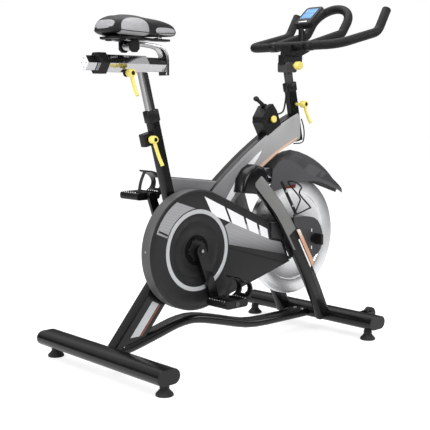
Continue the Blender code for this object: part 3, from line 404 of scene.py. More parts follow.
def tube(route, radius, sides=20, closed=False, dome=0.0):
    """A round tube along a route without twist; radius may be one number or one for each point."""
    points = [Vector(p) for p in route]
    radii = radius if isinstance(radius, list) else [radius] * len(points)
    if dome:
        first, last = (points[0] - points[1]).normalized(), (points[-1] - points[-2]).normalized()
        steps = [radians(a) for a in (75, 50, 25)]
        head = [(points[0] + first * (sin(a) * dome - dome), radii[0] * cos(a)) for a in steps]
        tail = [(points[-1] + last * (sin(a) * dome - dome), radii[-1] * cos(a)) for a in reversed(steps)]
        body = list(zip(points, radii))[1:-1]
        start = (points[0] - first * dome, radii[0])
        stop = (points[-1] - last * dome, radii[-1])
        both = head + [start] + body + [stop] + tail
        points, radii = [p for p, r in both], [r for p, r in both]
    rings = []
    side = None
    count = len(points)
    for i, point in enumerate(points):
        if closed:
            ahead = (points[(i + 1) % count] - points[i - 1]).normalized()
        else:
            ahead = (points[min(i + 1, count - 1)] - points[max(i - 1, 0)]).normalized()
        side = ahead.orthogonal().normalized() if side is None else side
        side = (side - ahead * side.dot(ahead)).normalized()
        deep = ahead.cross(side)
        turns = [2 * pi * k / sides for k in range(sides)]
        rings.append([point + (side * cos(t) + deep * sin(t)) * radii[i] for t in turns])
    return loft(rings, closed)


def put(name, bm, material, body, stands_for=(), bevel=0.0, segments=2, sharp=38, levels=0):
    """A finished piece that rides on a CAD body, and stands for the CAD nodes named."""
    bmesh.ops.recalc_face_normals(bm, faces=bm.faces)
    mesh = bpy.data.meshes.new(name)
    bm.to_mesh(mesh)
    bm.free()
    for m in material if isinstance(material, (list, tuple)) else [material]:
        mesh.materials.append(m)
    made = bpy.data.objects.new(name, mesh)
    SCENE.collection.objects.link(made)
    made.location.x = SHIFT
    mesh.shade_smooth()
    mesh.set_sharp_from_angle(angle=radians(sharp))
    if bevel:
        edge = made.modifiers.new("edges", "BEVEL")
        edge.width, edge.segments = bevel, segments
        edge.limit_method, edge.angle_limit = "ANGLE", radians(sharp)
        edge.harden_normals = True
    if levels:
        made.modifiers.new("smooth", "SUBSURF").render_levels = levels
    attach(made, body)
    if stands_for:
        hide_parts(*stands_for)
    return made


def refined(name, material, bevel=0.0015, segments=3, sharp=38, pick=None):
    """A copy of a CAD node with rounded edges. pick turns a face's normal and middle into a material slot."""
    bm = bmesh.new()
    bm.from_mesh(NODES[name].data)
    bmesh.ops.remove_doubles(bm, verts=bm.verts, dist=2e-5)
    bmesh.ops.dissolve_limit(bm, angle_limit=radians(0.8), verts=bm.verts, edges=bm.edges)
    bmesh.ops.translate(bm, verts=bm.verts, vec=(-SHIFT, 0, 0))
    bm.normal_update()
    if pick:
        for face in bm.faces:
            face.material_index = pick(face.normal, face.calc_center_median())
    return put(name + "_skin", bm, material, BODY[name], [name], bevel, segments, sharp)


def decal(name, outline, y, material, body="frame", thick=0.0005, side=-1):
    """A thin printed patch on a flat side at y, facing the rider's right or left."""
    y0, y1 = sorted((y - side * 0.0002, y + side * thick))
    return put(name, plate(outline, y0, y1), material, body)


def bolt(name, at, radius, body, axis="Y", height=0.004, side=-1, material=None):
    """A socket-head bolt or screw cap."""
    r, h = radius, height * side
    profile = [(0, 0), (r, 0), (r, h * 0.75), (r * 0.86, h), (r * 0.5, h), (r * 0.46, h * 0.45),
               (0, h * 0.45)]
    return put(name, turned(profile, at, 24, axis), material or STEEL, body)


# ---------------------------------------------------------------- frame tubes
def sides_grey(normal, middle):
    return 1 if abs(normal.y) > 0.7 else 0


def dress_frame():
    refined("main_tube", [BLACK, GREY_SIDE], 0.0010, 2, pick=sides_grey)
    refined("bridge_tube", [BLACK, GREY_SIDE], 0.0010, 2, pick=sides_grey)
    refined("head_tube", BLACK, 0.0015)
    refined("seat_tube", BLACK, 0.0015)
    crown = [(0.040, 0.508), (0.050, 0.556), (0.078, 0.590), (0.112, 0.606), (0.150, 0.596), (0.176, 0.560),
             (0.172, 0.528),
             (0.150, 0.494), (0.110, 0.498)]
    widths = ((-0.0700, 0.80), (-0.0685, 0.90), (-0.0640, 0.96), (-0.0560, 1.0), (0.0560, 1.0),
              (0.0640, 0.96), (0.0685, 0.90),
              (0.0700, 0.80))
    mid_x, mid_z = 0.126, 0.540
    crown_scale = 0.90
    rings = []
    for y, width in widths:
        grow = crown_scale * width
        rings.append([(mid_x + (x - mid_x) * grow, y, mid_z + (z - mid_z) * grow) for x, z in crown])
    put("fork_crown_skin", loft(rings), BLACK, "frame", ["fork_crown"], bevel=0.0020)
    refined("lower_beam", BLACK, 0.0, sharp=50)
    refined("rear_strut", BLACK, 0.0015)
    refined("bottom_bracket_shell", BLACK, 0.0008)
    for hand in ("right", "left"):
        refined(f"{hand}_fork_leg", [BLACK, LEG_SIDE], 0.0010, 2,
                pick=lambda n, m: 1 if abs(n.y) > 0.7 and m.z > 0.30 else 0)
    for end in ("rear", "front"):
        refined(f"{end}_stabiliser", BLACK, 0.0012, 2, sharp=40)


def dress_prints():
    """The plain printed stripes and panels on the frame."""
    swoosh = smooth([(-0.012, 0.452), (0.060, 0.548), (0.118, 0.602), (0.178, 0.641), (0.130, 0.583),
                     (0.080, 0.530),
                     (0.034, 0.482), (-0.002, 0.447)], 6, closed=True)
    copper = [(0.060, 0.500), (0.115, 0.550), (0.180, 0.600), (0.240, 0.633), (0.300, 0.660),
              (0.350, 0.681),
              (0.350, 0.676), (0.300, 0.653), (0.240, 0.622), (0.180, 0.585), (0.120, 0.541),
              (0.066, 0.493)]
    for side, hand in ((-1, "right"), (1, "left")):
        decal(f"{hand}_white_stripe", [(p.x, p.y) for p in swoosh], side * 0.025, WHITE, side=side)
        decal(f"{hand}_copper_stripe", copper, side * 0.025, COPPER_FADE, side=side)
        leg = [(0.262, 0.377), (0.278, 0.377), (0.352, 0.258), (0.342, 0.244)]
        decal(f"{hand}_leg_stripe", leg, side * 0.108, CREAM_FADE, side=side)
        line = [(0.250, 0.377), (0.256, 0.377), (0.337, 0.246), (0.333, 0.240)]
        decal(f"{hand}_leg_line", line, side * 0.108, WHITE, side=side)
        panel = [(0.335, 0.232), (0.362, 0.212), (0.396, 0.150), (0.376, 0.142)]
        decal(f"{hand}_leg_panel", panel, side * 0.108, LEG_DOTS, side=side)
        strut = [(-0.372, 0.100), (-0.338, 0.100), (-0.262, 0.188), (-0.286, 0.200)]
        decal(f"{hand}_strut_panel", strut, side * 0.020, PALE, side=side)
        thin = [(-0.334, 0.100), (-0.328, 0.100), (-0.256, 0.183), (-0.260, 0.187)]
        decal(f"{hand}_strut_line", thin, side * 0.020, ORANGE, side=side)


def seat_axis(z):
    return -0.1615 - (z - 0.347) * tan(radians(14.5))


def head_axis(z):
    return 0.3775 - (z - 0.667) * tan(radians(12.0))


def sleeve_ring(name, axis, lean, z0, z1, size, wall, radius=0.007):
    """A collar round a leaning tube, made of rounded rectangles and open along the tube."""
    rings = []
    for z, grow in ((z0, wall * 0.7), (z0 + 0.002, wall), (z1 - 0.002, wall), (z1, wall * 0.7),
                    (z1, 0.0006), (z0, 0.0006)):
        across, deep = size[0] + 2 * grow, size[1] + 2 * grow
        x0 = axis(z)
        rings.append([(x0 + u * cos(lean), v, z + u * sin(lean)) for u,
                      v in rounded(deep, across, radius + grow)])
    return put(name, loft(rings, closed=True), SATIN_BLACK, "frame", sharp=45)


def dress_collars():
    sleeve_ring("seat_collar", seat_axis, radians(14.5), 0.742, 0.776, (0.030, 0.034), 0.0042)
    sleeve_ring("head_collar", head_axis, radians(12.0), 0.838, 0.866, (0.030, 0.034), 0.0040)
    for x, z, name in ((-0.395, 0.062, "rear"), (0.395, 0.058, "front")):
        for side in (-1, 1):
            bolt(f"{name}_beam_bolt_{'left' if side > 0 else 'right'}", (x, side * 0.0165, z + 0.0115),
                 0.0060, "frame", "Z",
                 0.0042, 1)


# ---------------------------------------------------------------- drive side
def guard_outline():
    radius = 0.188
    top, bottom = radians(66), radians(-75)
    upper = (CRANK_X + radius * cos(top), CRANK_Z + radius * sin(top))
    lower = (CRANK_X + radius * cos(bottom), CRANK_Z + radius * sin(bottom))
    z_top = upper[1] - (0.176 - upper[0]) * tan(radians(24))
    z_low = lower[1] + (0.272 - lower[0]) * tan(radians(15))
    corners = [(0.272, z_low), (0.238, 0.338), (0.180, 0.352), (0.176, z_top)]
    points = arc(CRANK_X, CRANK_Z, radius, 66, 285, 120)
    for start, stop, steps in zip([points[-1]] + corners, corners + [points[0]], (24, 12, 8, 8, 20)):
        points += [(start[0] + (stop[0] - start[0]) * i / steps,
                    start[1] + (stop[1] - start[1]) * i / steps)
                   for i in range(1, steps + 1)]
    return points[:-1]


def dress_guard():
    edge = guard_outline()

    def ring(inset, y):
        out = []
        for x, z in edge:
            far = hypot(x - CRANK_X, z - CRANK_Z)
            keep = (far - inset) / far
            out.append((CRANK_X + (x - CRANK_X) * keep, y, CRANK_Z + (z - CRANK_Z) * keep))
        return out

    def hole(radius, y):
        return [(CRANK_X + radius * cos(t), y, CRANK_Z + radius * sin(t))
                for t in (atan2(z - CRANK_Z, x - CRANK_X) for x, z in edge)]

    rings = [ring(0.0, -0.0285), ring(0.0, -0.0650), ring(0.0007, -0.0677), ring(0.0020, -0.0692),
             ring(0.0042, -0.0700),
             ring(0.0100, -0.0700), ring(0.0106, -0.0694), ring(0.0118, -0.0694), ring(0.0124, -0.0700),
             hole(0.1300, -0.0700), hole(0.1272, -0.0692), hole(0.1138, -0.0692), hole(0.1138, -0.0670),
             ring(0.0030, -0.0670),
             ring(0.0030, -0.0285)]
    shell = put("belt_guard_skin", loft(rings, closed=True), GUARD, "frame", ["belt_guard"], sharp=40)
    # The rear rim band's faces take the lighter copy of the guard plastic, a painted highlight.
    shell.data.materials.append(GUARD_RIM_HIGHLIGHT)
    highlight_inside = 0.150
    for face in shell.data.polygons:
        far = hypot(face.center.x - CRANK_X, face.center.z - CRANK_Z)
        if abs(face.normal.y) < 0.5 and face.center.x < CRANK_X and far > highlight_inside:
            face.material_index = 1
    band = [(0.1138, -0.0688), (0.1138, -0.0700), (0.1146, -0.0708), (0.1262, -0.0708), (0.1270, -0.0700),
            (0.1270, -0.0688)]
    put("guard_ring", turned(band, (CRANK_X, 0, CRANK_Z), 128), PALE, "frame")
    dish = [(0.0135, -0.0640), (0.0300, -0.0640), (0.0310, -0.0634), (0.0460, -0.0634), (0.0470, -0.0644),
            (0.0620, -0.0652),
            (0.0640, -0.0660), (0.0860, -0.0668), (0.0880, -0.0660), (0.0900, -0.0660), (0.0920, -0.0672),
            (0.1060, -0.0690),
            (0.1110, -0.0696), (0.1132, -0.0690), (0.1132, -0.0655), (0.1080, -0.0610), (0.0135, -0.0610)]
    put("crank_cover_skin", turned(dish, (CRANK_X, 0, CRANK_Z), 128), SOFT_BLACK, "frame", ["crank_cover"],
        sharp=30)
    well = [(0.0135, -0.0636), (0.0450, -0.0636), (0.0455, -0.0640), (0.0470, -0.0651), (0.0135, -0.0640)]
    # A disc of painted shadow in the recess of the crank cover.
    put("crank_well", turned(well, (CRANK_X, 0, CRANK_Z), 96), PAINTED_SHADOW, "frame")
    spider = []
    for i in range(60):
        turn = 2 * pi * i / 60
        far = 0.0300 + 0.0120 * max(0.0, cos(5 * (turn - CRANK_TURN - radians(36)))) ** 0.7
        spider.append((CRANK_X + far * cos(turn), CRANK_Z + far * sin(turn)))
    put("crank_spider", plate(spider, -0.0672, -0.0656), SOFT_BLACK, "crankset", bevel=0.0005)
    # The five spider bolts are coloured with the painted-shadow black.
    for i in range(5):
        turn = CRANK_TURN + radians(36 + 72 * i)
        at = (CRANK_X + 0.0385 * cos(turn), -0.0634, CRANK_Z + 0.0385 * sin(turn))
        bolt(f"spider_bolt_{i + 1}", (at[0], -0.0672, at[2]), 0.0058, "crankset", height=0.0022,
             material=PAINTED_SHADOW)
    inner = [(CRANK_X + 0.1315 * cos(radians(a)), CRANK_Z + 0.1315 * sin(radians(a)))
             for a in range(2, 31, 4)]
    decal("guard_front_dots", inner + [(0.010, 0.430), (0.160, 0.372), (0.170, 0.349), (0.226, 0.335),
                                       (0.246, 0.292)],
          GUARD_FACE, DOTS, thick=0.0003)
    outer = [(CRANK_X + 0.176 * cos(radians(a)), CRANK_Z + 0.176 * sin(radians(a)))
             for a in range(158, 117, -4)]
    near = [(CRANK_X + 0.1310 * cos(radians(a)), CRANK_Z + 0.1310 * sin(radians(a)))
            for a in range(94, 159, 4)]
    decal("guard_rear_dots", outer + near, GUARD_FACE, DOTS, thick=0.0003)
    top, low = ((-0.118, 0.5120), (0.160, 0.3850)), ((-0.084, 0.4520), (0.166, 0.3520))
    for i, (t0, t1) in enumerate(((0.0, 0.30), (0.34, 0.60), (0.64, 0.82), (0.86, 1.0))):
        corners = [(line, t) for line, t in ((top, t0), (top, t1), (low, t1), (low, t0))]
        bar = [(a[0] + (b[0] - a[0]) * t, a[1] + (b[1] - a[1]) * t) for (a, b), t in corners]
        decal(f"guard_block_{i + 1}", bar, GUARD_FACE, WHITE, thick=0.0006)
    for name, route in (("guard_groove_front", [(-0.012, 0.340), (0.246, 0.262)]),
                        ("guard_groove_rear", [(-0.300, 0.420), (-0.266, 0.404)])):
        (x0, z0), (x1, z1) = route
        lead = Vector((x1 - x0, z1 - z0)).normalized()
        off = Vector((-lead.y, lead.x)) * 0.0028
        decal(name, [(x0 - off.x, z0 - off.y), (x1 - off.x, z1 - off.y), (x1 + off.x, z1 + off.y),
                     (x0 + off.x, z0 + off.y)],
              GUARD_FACE, SATIN_BLACK, thick=0.0004)
    bolt("guard_rear_screw", (CRANK_X - 0.1878, -0.049, CRANK_Z + 0.012), 0.0035, "frame", "X", 0.0016, -1)
    refined("belt_guard_back", SATIN_BLACK, 0.0)
    refined("belt_tunnel", MID_GREY, 0.0008)


def dress_axle():
    refined("axle_cover", MID_GREY, 0.0022, 3)
    refined("hub_knob", SATIN_BLACK, 0.0012)
    refined("flywheel_axle", STEEL, 0.0005)
    for i, z in enumerate((0.368, 0.309)):
        decal(f"cover_mark_{i + 1}", [(FLY_X - 0.011, z - 0.006), (FLY_X - 0.007, z - 0.006),
                                      (FLY_X - 0.007, z + 0.005),
                                      (FLY_X - 0.011, z + 0.005)], -0.106, WHITE, thick=0.0003)
    rim = 0.0125
    profile = [(0.0130, -0.0220), (0.0340, -0.0220), (0.0360, -0.0205), (0.0385, -0.0085),
               (0.0410, -0.0075),
               (0.1480, -0.0075), (0.1510, -0.0085), (0.1540, -0.0118), (0.1560, -rim), (0.2005, -rim),
               (0.2024, -0.0118),
               (0.2030, -0.0100), (0.2030, 0.0100), (0.2024, 0.0118), (0.2005, rim), (0.1560, rim),
               (0.1540, 0.0118),
               (0.1510, 0.0085), (0.1480, 0.0075), (0.0410, 0.0075), (0.0385, 0.0085), (0.0360, 0.0205),
               (0.0340, 0.0220),
               (0.0130, 0.0220)]
    put("flywheel_skin", turned(profile, (FLY_X, 0, FLY_Z), 160), FLY_STEEL, "flywheel_set", ["flywheel"],
        sharp=24)
    for i in range(6):
        turn = radians(60 * i + 15)
        at = (FLY_X + 0.026 * cos(turn), 0.0220, FLY_Z + 0.026 * sin(turn))
        bolt(f"hub_bolt_left_{i + 1}", at, 0.0040, "flywheel_set", height=0.0030, side=1)
    nut = [(0.0082, 0.0980), (0.0140, 0.0980), (0.0140, 0.1040), (0.0125, 0.1060), (0.0082, 0.1060)]
    put("axle_nut_left", turned(nut, (FLY_X, 0, FLY_Z), 6), STEEL, "frame", sharp=20)
    refined("driven_pulley", STEEL, 0.0)
    refined("drive_pulley", STEEL, 0.0)
    refined("drive_belt", RUBBER, 0.0)
    refined("crank_bearing", STEEL, 0.0)


def dress_cranks():
    refined("crank_axle", STEEL, 0.0006)
    for hand, side in (("right", -1), ("left", 1)):
        refined(f"{hand}_crank_arm", BLACK, 0.0038, 4)
        at = (CRANK_X, side * 0.0895, CRANK_Z)
        cap = [(0, side * 0.0035), (0.0060, side * 0.0035), (0.0068, side * 0.0022),
               (0.0095, side * 0.0022),
               (0.0105, side * 0.0008), (0.0105, -side * 0.001), (0, -side * 0.001)]
        put(f"{hand}_crank_cap", turned(cap, at, 36), SATIN_BLACK, "crankset")
        bolt(f"{hand}_crank_bolt", (CRANK_X, side * 0.0929, CRANK_Z), 0.0048, "crankset", height=0.0018,
             side=side)
        turn = CRANK_TURN if side < 0 else CRANK_TURN + pi
        x, z = CRANK_X + CRANK_LENGTH * cos(turn), CRANK_Z + CRANK_LENGTH * sin(turn)
        body = f"{hand}_pedal_set"
        refined(f"{hand}_pedal", SATIN_BLACK, 0.0012)
        refined(f"{hand}_toe_cage", SATIN_BLACK, 0.0008)
        y0, y1 = sorted((side * 0.100, side * 0.184))
        for j, u in ((0, -0.0440), (3, 0.0440)):
            for k in range(7):
                y = y0 + 0.009 + k * (y1 - y0 - 0.018) / 6
                stud = [(0, -0.0005), (0.0016, -0.0005), (0.0008, 0.0022), (0, 0.0022)]
                put(f"{hand}_pedal_stud_{j}_{k}", turned(stud, (x + u, y, z + 0.0120), 8, "Z"), STEEL, body)
        strap = smooth([(x - 0.002, 0, z + 0.013), (x + 0.004, 0, z + 0.040), (x + 0.015, 0, z + 0.064),
                        (x + 0.022, 0, z + 0.0755)], 4)
        middle = side * 0.142
        rings = [[(p.x + dx, middle + dy, p.z) for dx,
                  dy in ((-0.0009, -0.007), (0.0009, -0.007), (0.0009, 0.007), (-0.0009, 0.007))]
                 for p in strap]
        put(f"{hand}_toe_strap", loft(rings), RUBBER, body, sharp=30)
        end_cap = turned([(0, side * 0.0002), (0.0085, side * 0.0002), (0.0080, side * 0.0018),
                          (0, side * 0.0022)],
                         (x, side * 0.186, z), 24)
        put(f"{hand}_pedal_cap", end_cap, MID_GREY, body)


# ---------------------------------------------------------------- brake, fender, cage, controls
def dress_front():
    # The fender's flat sides take the lighter copy of its plastic, painted light; the other faces keep the base
    # fender plastic.
    refined("flywheel_fender", [FENDER, FENDER_LIT_SIDE], 0.0, sharp=24, pick=lambda n, m: 1 if abs(n.y) > 0.9
            else 0)
    refined("brake_arm", STEEL, 0.0010)
    for side, hand in ((-1, "right"), (1, "left")):
        decal(f"{hand}_brake_pad", [(0.2905, 0.5065), (0.3445, 0.5065), (0.3445, 0.5180), (0.2905, 0.5180)],
              side * 0.0250, RED,
              BODY["brake_arm"], 0.0012, side)
    loop = [(0.240, -0.118, 0.428), (0.300, -0.125, 0.446), (0.308, -0.125, 0.452), (0.256, -0.125, 0.498),
            (0.264, -0.125, 0.520), (0.244, -0.115, 0.538), (0.258, -0.072, 0.536), (0.272, -0.065, 0.524),
            (0.322, -0.065, 0.478), (0.320, -0.065, 0.458), (0.290, -0.072, 0.424)]
    put("bottle_cage_skin", tube(smooth(loop, 6, closed=True), 0.0026, 12, closed=True), BLACK, "frame",
        ["bottle_cage"])
    strip = [(0.178, 0.541), (0.188, 0.545), (0.262, 0.431), (0.252, 0.426)]
    put("cage_strip", plate(strip, -0.1115, -0.1082), SATIN_BLACK, "frame", bevel=0.0006)
    for i, (x, z) in enumerate(((0.205, 0.510), (0.238, 0.459))):
        bolt(f"cage_screw_{i + 1}", (x, -0.1115, z), 0.0045, "frame", height=0.0025)


def dress_controls():
    refined("control_box", SATIN_BLACK, 0.0025)
    refined("resistance_lever", SOFT_BLACK, 0.0008)
    refined("stop_button", YELLOW, 0.0015)
    refined("brake_cable", SATIN_BLACK, 0.0, sharp=60)
    refined("sensor_lead", SATIN_BLACK, 0.0, sharp=60)
    for name in ("seat_height_lever", "seat_slide_lever", "bar_height_lever"):
        refined(name, YELLOW, 0.0018, 3)
        refined_hub(name)
    refined("bar_slide_knob", YELLOW, 0.0020, 3)


def refined_hub(name):
    """A dark cap on a clamp lever's hub."""
    joint = next(j for j in frame["joints"] if j["child"] == BODY[name])
    x, y, z = joint["pos_m"]
    reach = {"seat_height_lever": 0.027, "seat_slide_lever": 0.036, "bar_height_lever": 0.050}[name]
    cap = [(0, -0.0006), (0.0060, -0.0006), (0.0064, 0.0), (0.0064, 0.0008), (0, 0.0008)]
    put(name + "_cap", turned(cap, (x - SHIFT, y - reach, z), 28), SATIN_BLACK, BODY[name])
    collar = [(0.0052, 0.0), (0.0105, 0.0), (0.0110, -0.0008), (0.0110, -0.0036), (0.0052, -0.0036)]
    put(name + "_washer", turned(collar, (x - SHIFT, y - 0.0004, z), 28), SATIN_BLACK, BODY[name])


# ---------------------------------------------------------------- seat
def dress_seat():
    refined("seat_post", CHROME, 0.0012)
    refined("slider_sleeve", CHROME, 0.0006, 2)
    # Painted reflection: the chrome rail's upward-facing faces take the black paint, standing in for dark
    # reflections.
    refined("slider_rail", [CHROME, BLACK], 0.0006, 2, pick=lambda n, m: 1 if n.z > 0.3 else 0)
    refined("saddle_arm", CHROME, 0.0015, 3)
    refined("saddle_base", SATIN_BLACK, 0.0012)
    for i, (y, z) in enumerate(((0, 0.0125), (0, -0.0125), (0.0115, 0), (-0.0115, 0))):
        bolt(f"rail_end_screw_{i + 1}", (-0.5081, y, RAIL_Z + z), 0.0017, "seat_slider", "X", 0.0012, -1,
             SATIN_BLACK)
    face = [(-0.0222, 0.0), (-0.0079, 0.0202), (0.0079, 0.0202), (0.0222, 0.0), (0.0079, -0.0202),
            (-0.0079, -0.0202)]
    put("rail_end_plate",
        loft([[(x, y * k, RAIL_Z + z * k) for y, z in face] for x, k in ((-0.5079, 1.0), (-0.5088, 0.97))]),
        WHITE, "seat_slider", bevel=0.0003)
    half = [(0.0122, 0.0300), (-0.0122, 0.0300), (-0.0335, 0.0), (-0.0122, -0.0300), (0.0122, -0.0300),
            (0.0335, 0.0)]
    rings = []
    for x, grow in ((-0.4715, 0.96), (-0.4700, 1.0), (-0.4415, 1.0), (-0.4400, 0.96), (-0.4400, 0.925),
                    (-0.4715, 0.925)):
        rings.append([(x, y * grow, RAIL_Z + z * grow) for y, z in half])
    put("sleeve_collar", loft(rings, closed=True), SATIN_BLACK, "seat_post_set", sharp=30)
    saddle()
    springs()


def springs():
    """The two elastomer springs and rails between the saddle's tray and the cushion's tail."""
    for side, hand in ((-1, "right"), (1, "left")):
        profile = [(0, 0.9760)]
        for i in range(7):
            z = 0.9765 + i * 0.0022
            profile += [(0.0085, z), (0.0102, z + 0.0011)]
        profile += [(0.0085, 0.9925), (0, 0.9925)]
        put(f"{hand}_saddle_spring", turned(profile, (-0.398, side * 0.034, 0), 28, "Z"), RUBBER,
            "saddle_set")
        rail = smooth([(-0.392, side * 0.030, 0.9800), (-0.360, side * 0.024, 0.9770),
                       (-0.320, side * 0.020, 0.9785),
                       (-0.262, side * 0.012, 0.9850), (-0.235, side * 0.008, 0.9900)], 6)
        put(f"{hand}_saddle_wire", tube(rail, 0.0032, 14), STEEL, "saddle_set")


def saddle():
    """A padded saddle: a wide lifted tail, a narrow nose, a soft centre channel and a sewn lower edge."""
    stations = smooth([(-0.4440, 0.022, 1.0200), (-0.4340, 0.052, 1.0370), (-0.4080, 0.074, 1.0480),
                       (-0.3750, 0.081, 1.0510),
                       (-0.3420, 0.072, 1.0500), (-0.3080, 0.051, 1.0470), (-0.2700, 0.034, 1.0450),
                       (-0.2280, 0.026, 1.0400),
                       (-0.1950, 0.020, 1.0300), (-0.1790, 0.010, 1.0160)], 7)
    lows = smooth([(-0.4440, 1.0040, 0), (-0.4340, 0.9960, 0), (-0.4080, 0.9900, 0), (-0.3750, 0.9880, 0),
                   (-0.3420, 0.9880, 0),
                   (-0.3080, 0.9890, 0), (-0.2700, 0.9910, 0), (-0.2280, 0.9930, 0), (-0.1950, 0.9950, 0),
                   (-0.1790, 0.9990, 0)], 7)
    rings = []
    count = 44
    for station, edge in zip(stations, lows):
        x, half, top = station
        low = edge.y
        ring = []
        for k in range(count):
            turn = 2 * pi * k / count
            u, v = cos(turn), sin(turn)
            if v >= 0:
                y = half * (abs(u) ** 0.86) * (1 if u > 0 else -1)
                z = low + 0.010 + (top - low - 0.010) * v ** 0.80
                z -= 0.0050 * max(0.0, 1 - (y / 0.010) ** 2) * min(1.0, half / 0.045)
            else:
                y = half * (abs(u) ** 0.60) * (1 if u > 0 else -1) * (1 + 0.10 * v)
                z = low + 0.010 + 0.0095 * v
            ring.append((x, y, z))
        rings.append(ring)
    piece = put("saddle_cushion", loft(rings), COVER, "saddle_set", ["saddle"], sharp=60, levels=1)
    seam = []
    for station, edge in list(zip(stations, lows))[2:-2]:
        seam.append(Vector((station.x, station.y * 0.997 + 0.0004, edge.y + 0.0105)))
    for side, hand in ((-1, "right"), (1, "left")):
        put(f"saddle_piping_{hand}", tube([(p.x, side * p.y, p.z) for p in seam], 0.0011, 8), SATIN_BLACK,
            "saddle_set")


# ---------------------------------------------------------------- handlebar and console
def dress_bar():
    refined("bar_post", MID_GREY, 0.0015)
    refined("bar_carriage", SATIN_BLACK, 0.0018)
    bar_x, bar_z, half = 0.345, 0.988, 0.205
    side = [(0.601, half, 1.119), (0.552, half, 1.037), (bar_x, half, bar_z)]
    points = [(x, -y, z) for x, y, z in side] + [(x, y, z) for x, y, z in reversed(side)]
    put("handlebar_skin", tube(fillet(points, 0.055, 12), 0.0155, 28, dome=0.006), GRIP, "bar_set",
        ["handlebar"], sharp=70)
    rise = Vector((0.512 - bar_x, 0, 1.034 - bar_z))
    foot = Vector((bar_x, 0.080, bar_z))
    bend = foot + rise
    lean = Vector((0.052, 0, 0.072)).normalized()
    top = [bend + lean * 0.045 + Vector((0, 0.080 * (cos(t) - 1), 0)) + lean * 0.080 * 0.86 * sin(t)
           for t in (radians(a) for a in range(0, 91, 6))]
    right = fillet([foot, bend, top[0]], 0.030, 8) + top[1:]
    route = right + [Vector((p.x, -p.y, p.z)) for p in reversed(right[:-1])]
    put("handlebar_loop_skin", tube(route, 0.0155, 28), GRIP, "bar_set", ["handlebar_loop"], sharp=70)
    for sign, hand in ((-1, "right"), (1, "left")):
        weld = [(0.0157, -0.0165), (0.0172, -0.0150), (0.0176, 0.0), (0.0172, 0.0150), (0.0157, 0.0165)]
        put(f"{hand}_bar_joint", turned(weld, (bar_x, sign * 0.080, bar_z), 32), SATIN_BLACK, "bar_set",
            sharp=60)
        end = Vector((0.601, sign * half, 1.119))
        away = (end - Vector((0.552, sign * half, 1.037))).normalized()
        ring = tube([end - away * 0.0085, end - away * 0.0070], 0.0159, 28)
        put(f"{hand}_bar_end_ring", ring, SATIN_BLACK, "bar_set")
    console()


def console():
    lean = radians(40)
    middle = Vector((0.436, 0, 1.088))

    def face(u, w, v):
        return (middle.x + u * cos(lean) - v * sin(lean), w, middle.z + u * sin(lean) + v * cos(lean))

    def slab(outline, layers):
        return loft([[face(u * s, w * s, v) for u, w in outline] for v, s in layers])

    case = rounded(0.100, 0.076, 0.012)
    put("console_case", slab(case, ((-0.0128, 0.90), (-0.0110, 0.97), (-0.004, 1.0), (0.006, 1.0),
                                    (0.0115, 0.97), (0.0130, 0.92))),
        SATIN_BLACK, "bar_set", ["console"], sharp=50)
    bezel = [(u + 0.006, w) for u, w in rounded(0.072, 0.062, 0.005)]
    put("console_bezel", slab(bezel, ((0.0125, 1.0), (0.0134, 0.985))), BLACK, "bar_set")
    glass = [(u + 0.008, w) for u, w in rounded(0.056, 0.050, 0.002)]
    put("console_screen", slab(glass, ((0.0130, 1.0), (0.0138, 0.99))), SCREEN, "bar_set")
    strip = [(u - 0.038, w) for u, w in rounded(0.005, 0.040, 0.002)]
    put("console_strip", slab(strip, ((0.0125, 1.0), (0.0140, 0.95))), CHROME, "bar_set")


# ---------------------------------------------------------------- feet and wheels
def dress_feet():
    profile = [(0, 0), (0.0240, 0), (0.0255, 0.0012), (0.0255, 0.0050), (0.0235, 0.0085), (0.0185, 0.0130),
               (0.0150, 0.0180),
               (0.0130, 0.0200), (0.0130, 0.0310), (0.0120, 0.0330), (0.0120, 0.0365), (0.0055, 0.0365),
               (0.0055, 0.0580),
               (0, 0.0580)]
    for end, x in (("rear", -0.447), ("front", 0.447)):
        for hand, y in (("right", -0.270), ("left", 0.270)):
            name = f"{end}_{hand}_foot"
            put(name + "_skin", turned(profile, (x, y, 0), 48, "Z"), RUBBER, BODY[name], [name])
            ribs = [(0.0132, 0.0212), (0.0142, 0.0220), (0.0142, 0.0296), (0.0132, 0.0304)]
            put(name + "_collar", turned(ribs, (x, y, 0), 12, "Z"), SATIN_BLACK, BODY[name], sharp=20)
    tread = [(0.0046, -0.0125), (0.0105, -0.0125), (0.0110, -0.0120), (0.0115, -0.0085), (0.0170, -0.0085),
             (0.0180, -0.0100),
             (0.0225, -0.0100), (0.0240, -0.0085), (0.0240, 0.0085), (0.0225, 0.0100), (0.0180, 0.0100),
             (0.0170, 0.0085),
             (0.0115, 0.0085), (0.0110, 0.0120), (0.0105, 0.0125), (0.0046, 0.0125)]
    for hand, side in (("right", -1), ("left", 1)):
        name = f"{hand}_transport_wheel"
        put(name + "_skin", turned(tread, (0.524, side * 0.215, 0.067), 56), SATIN_BLACK, BODY[name],
            [name], sharp=30)


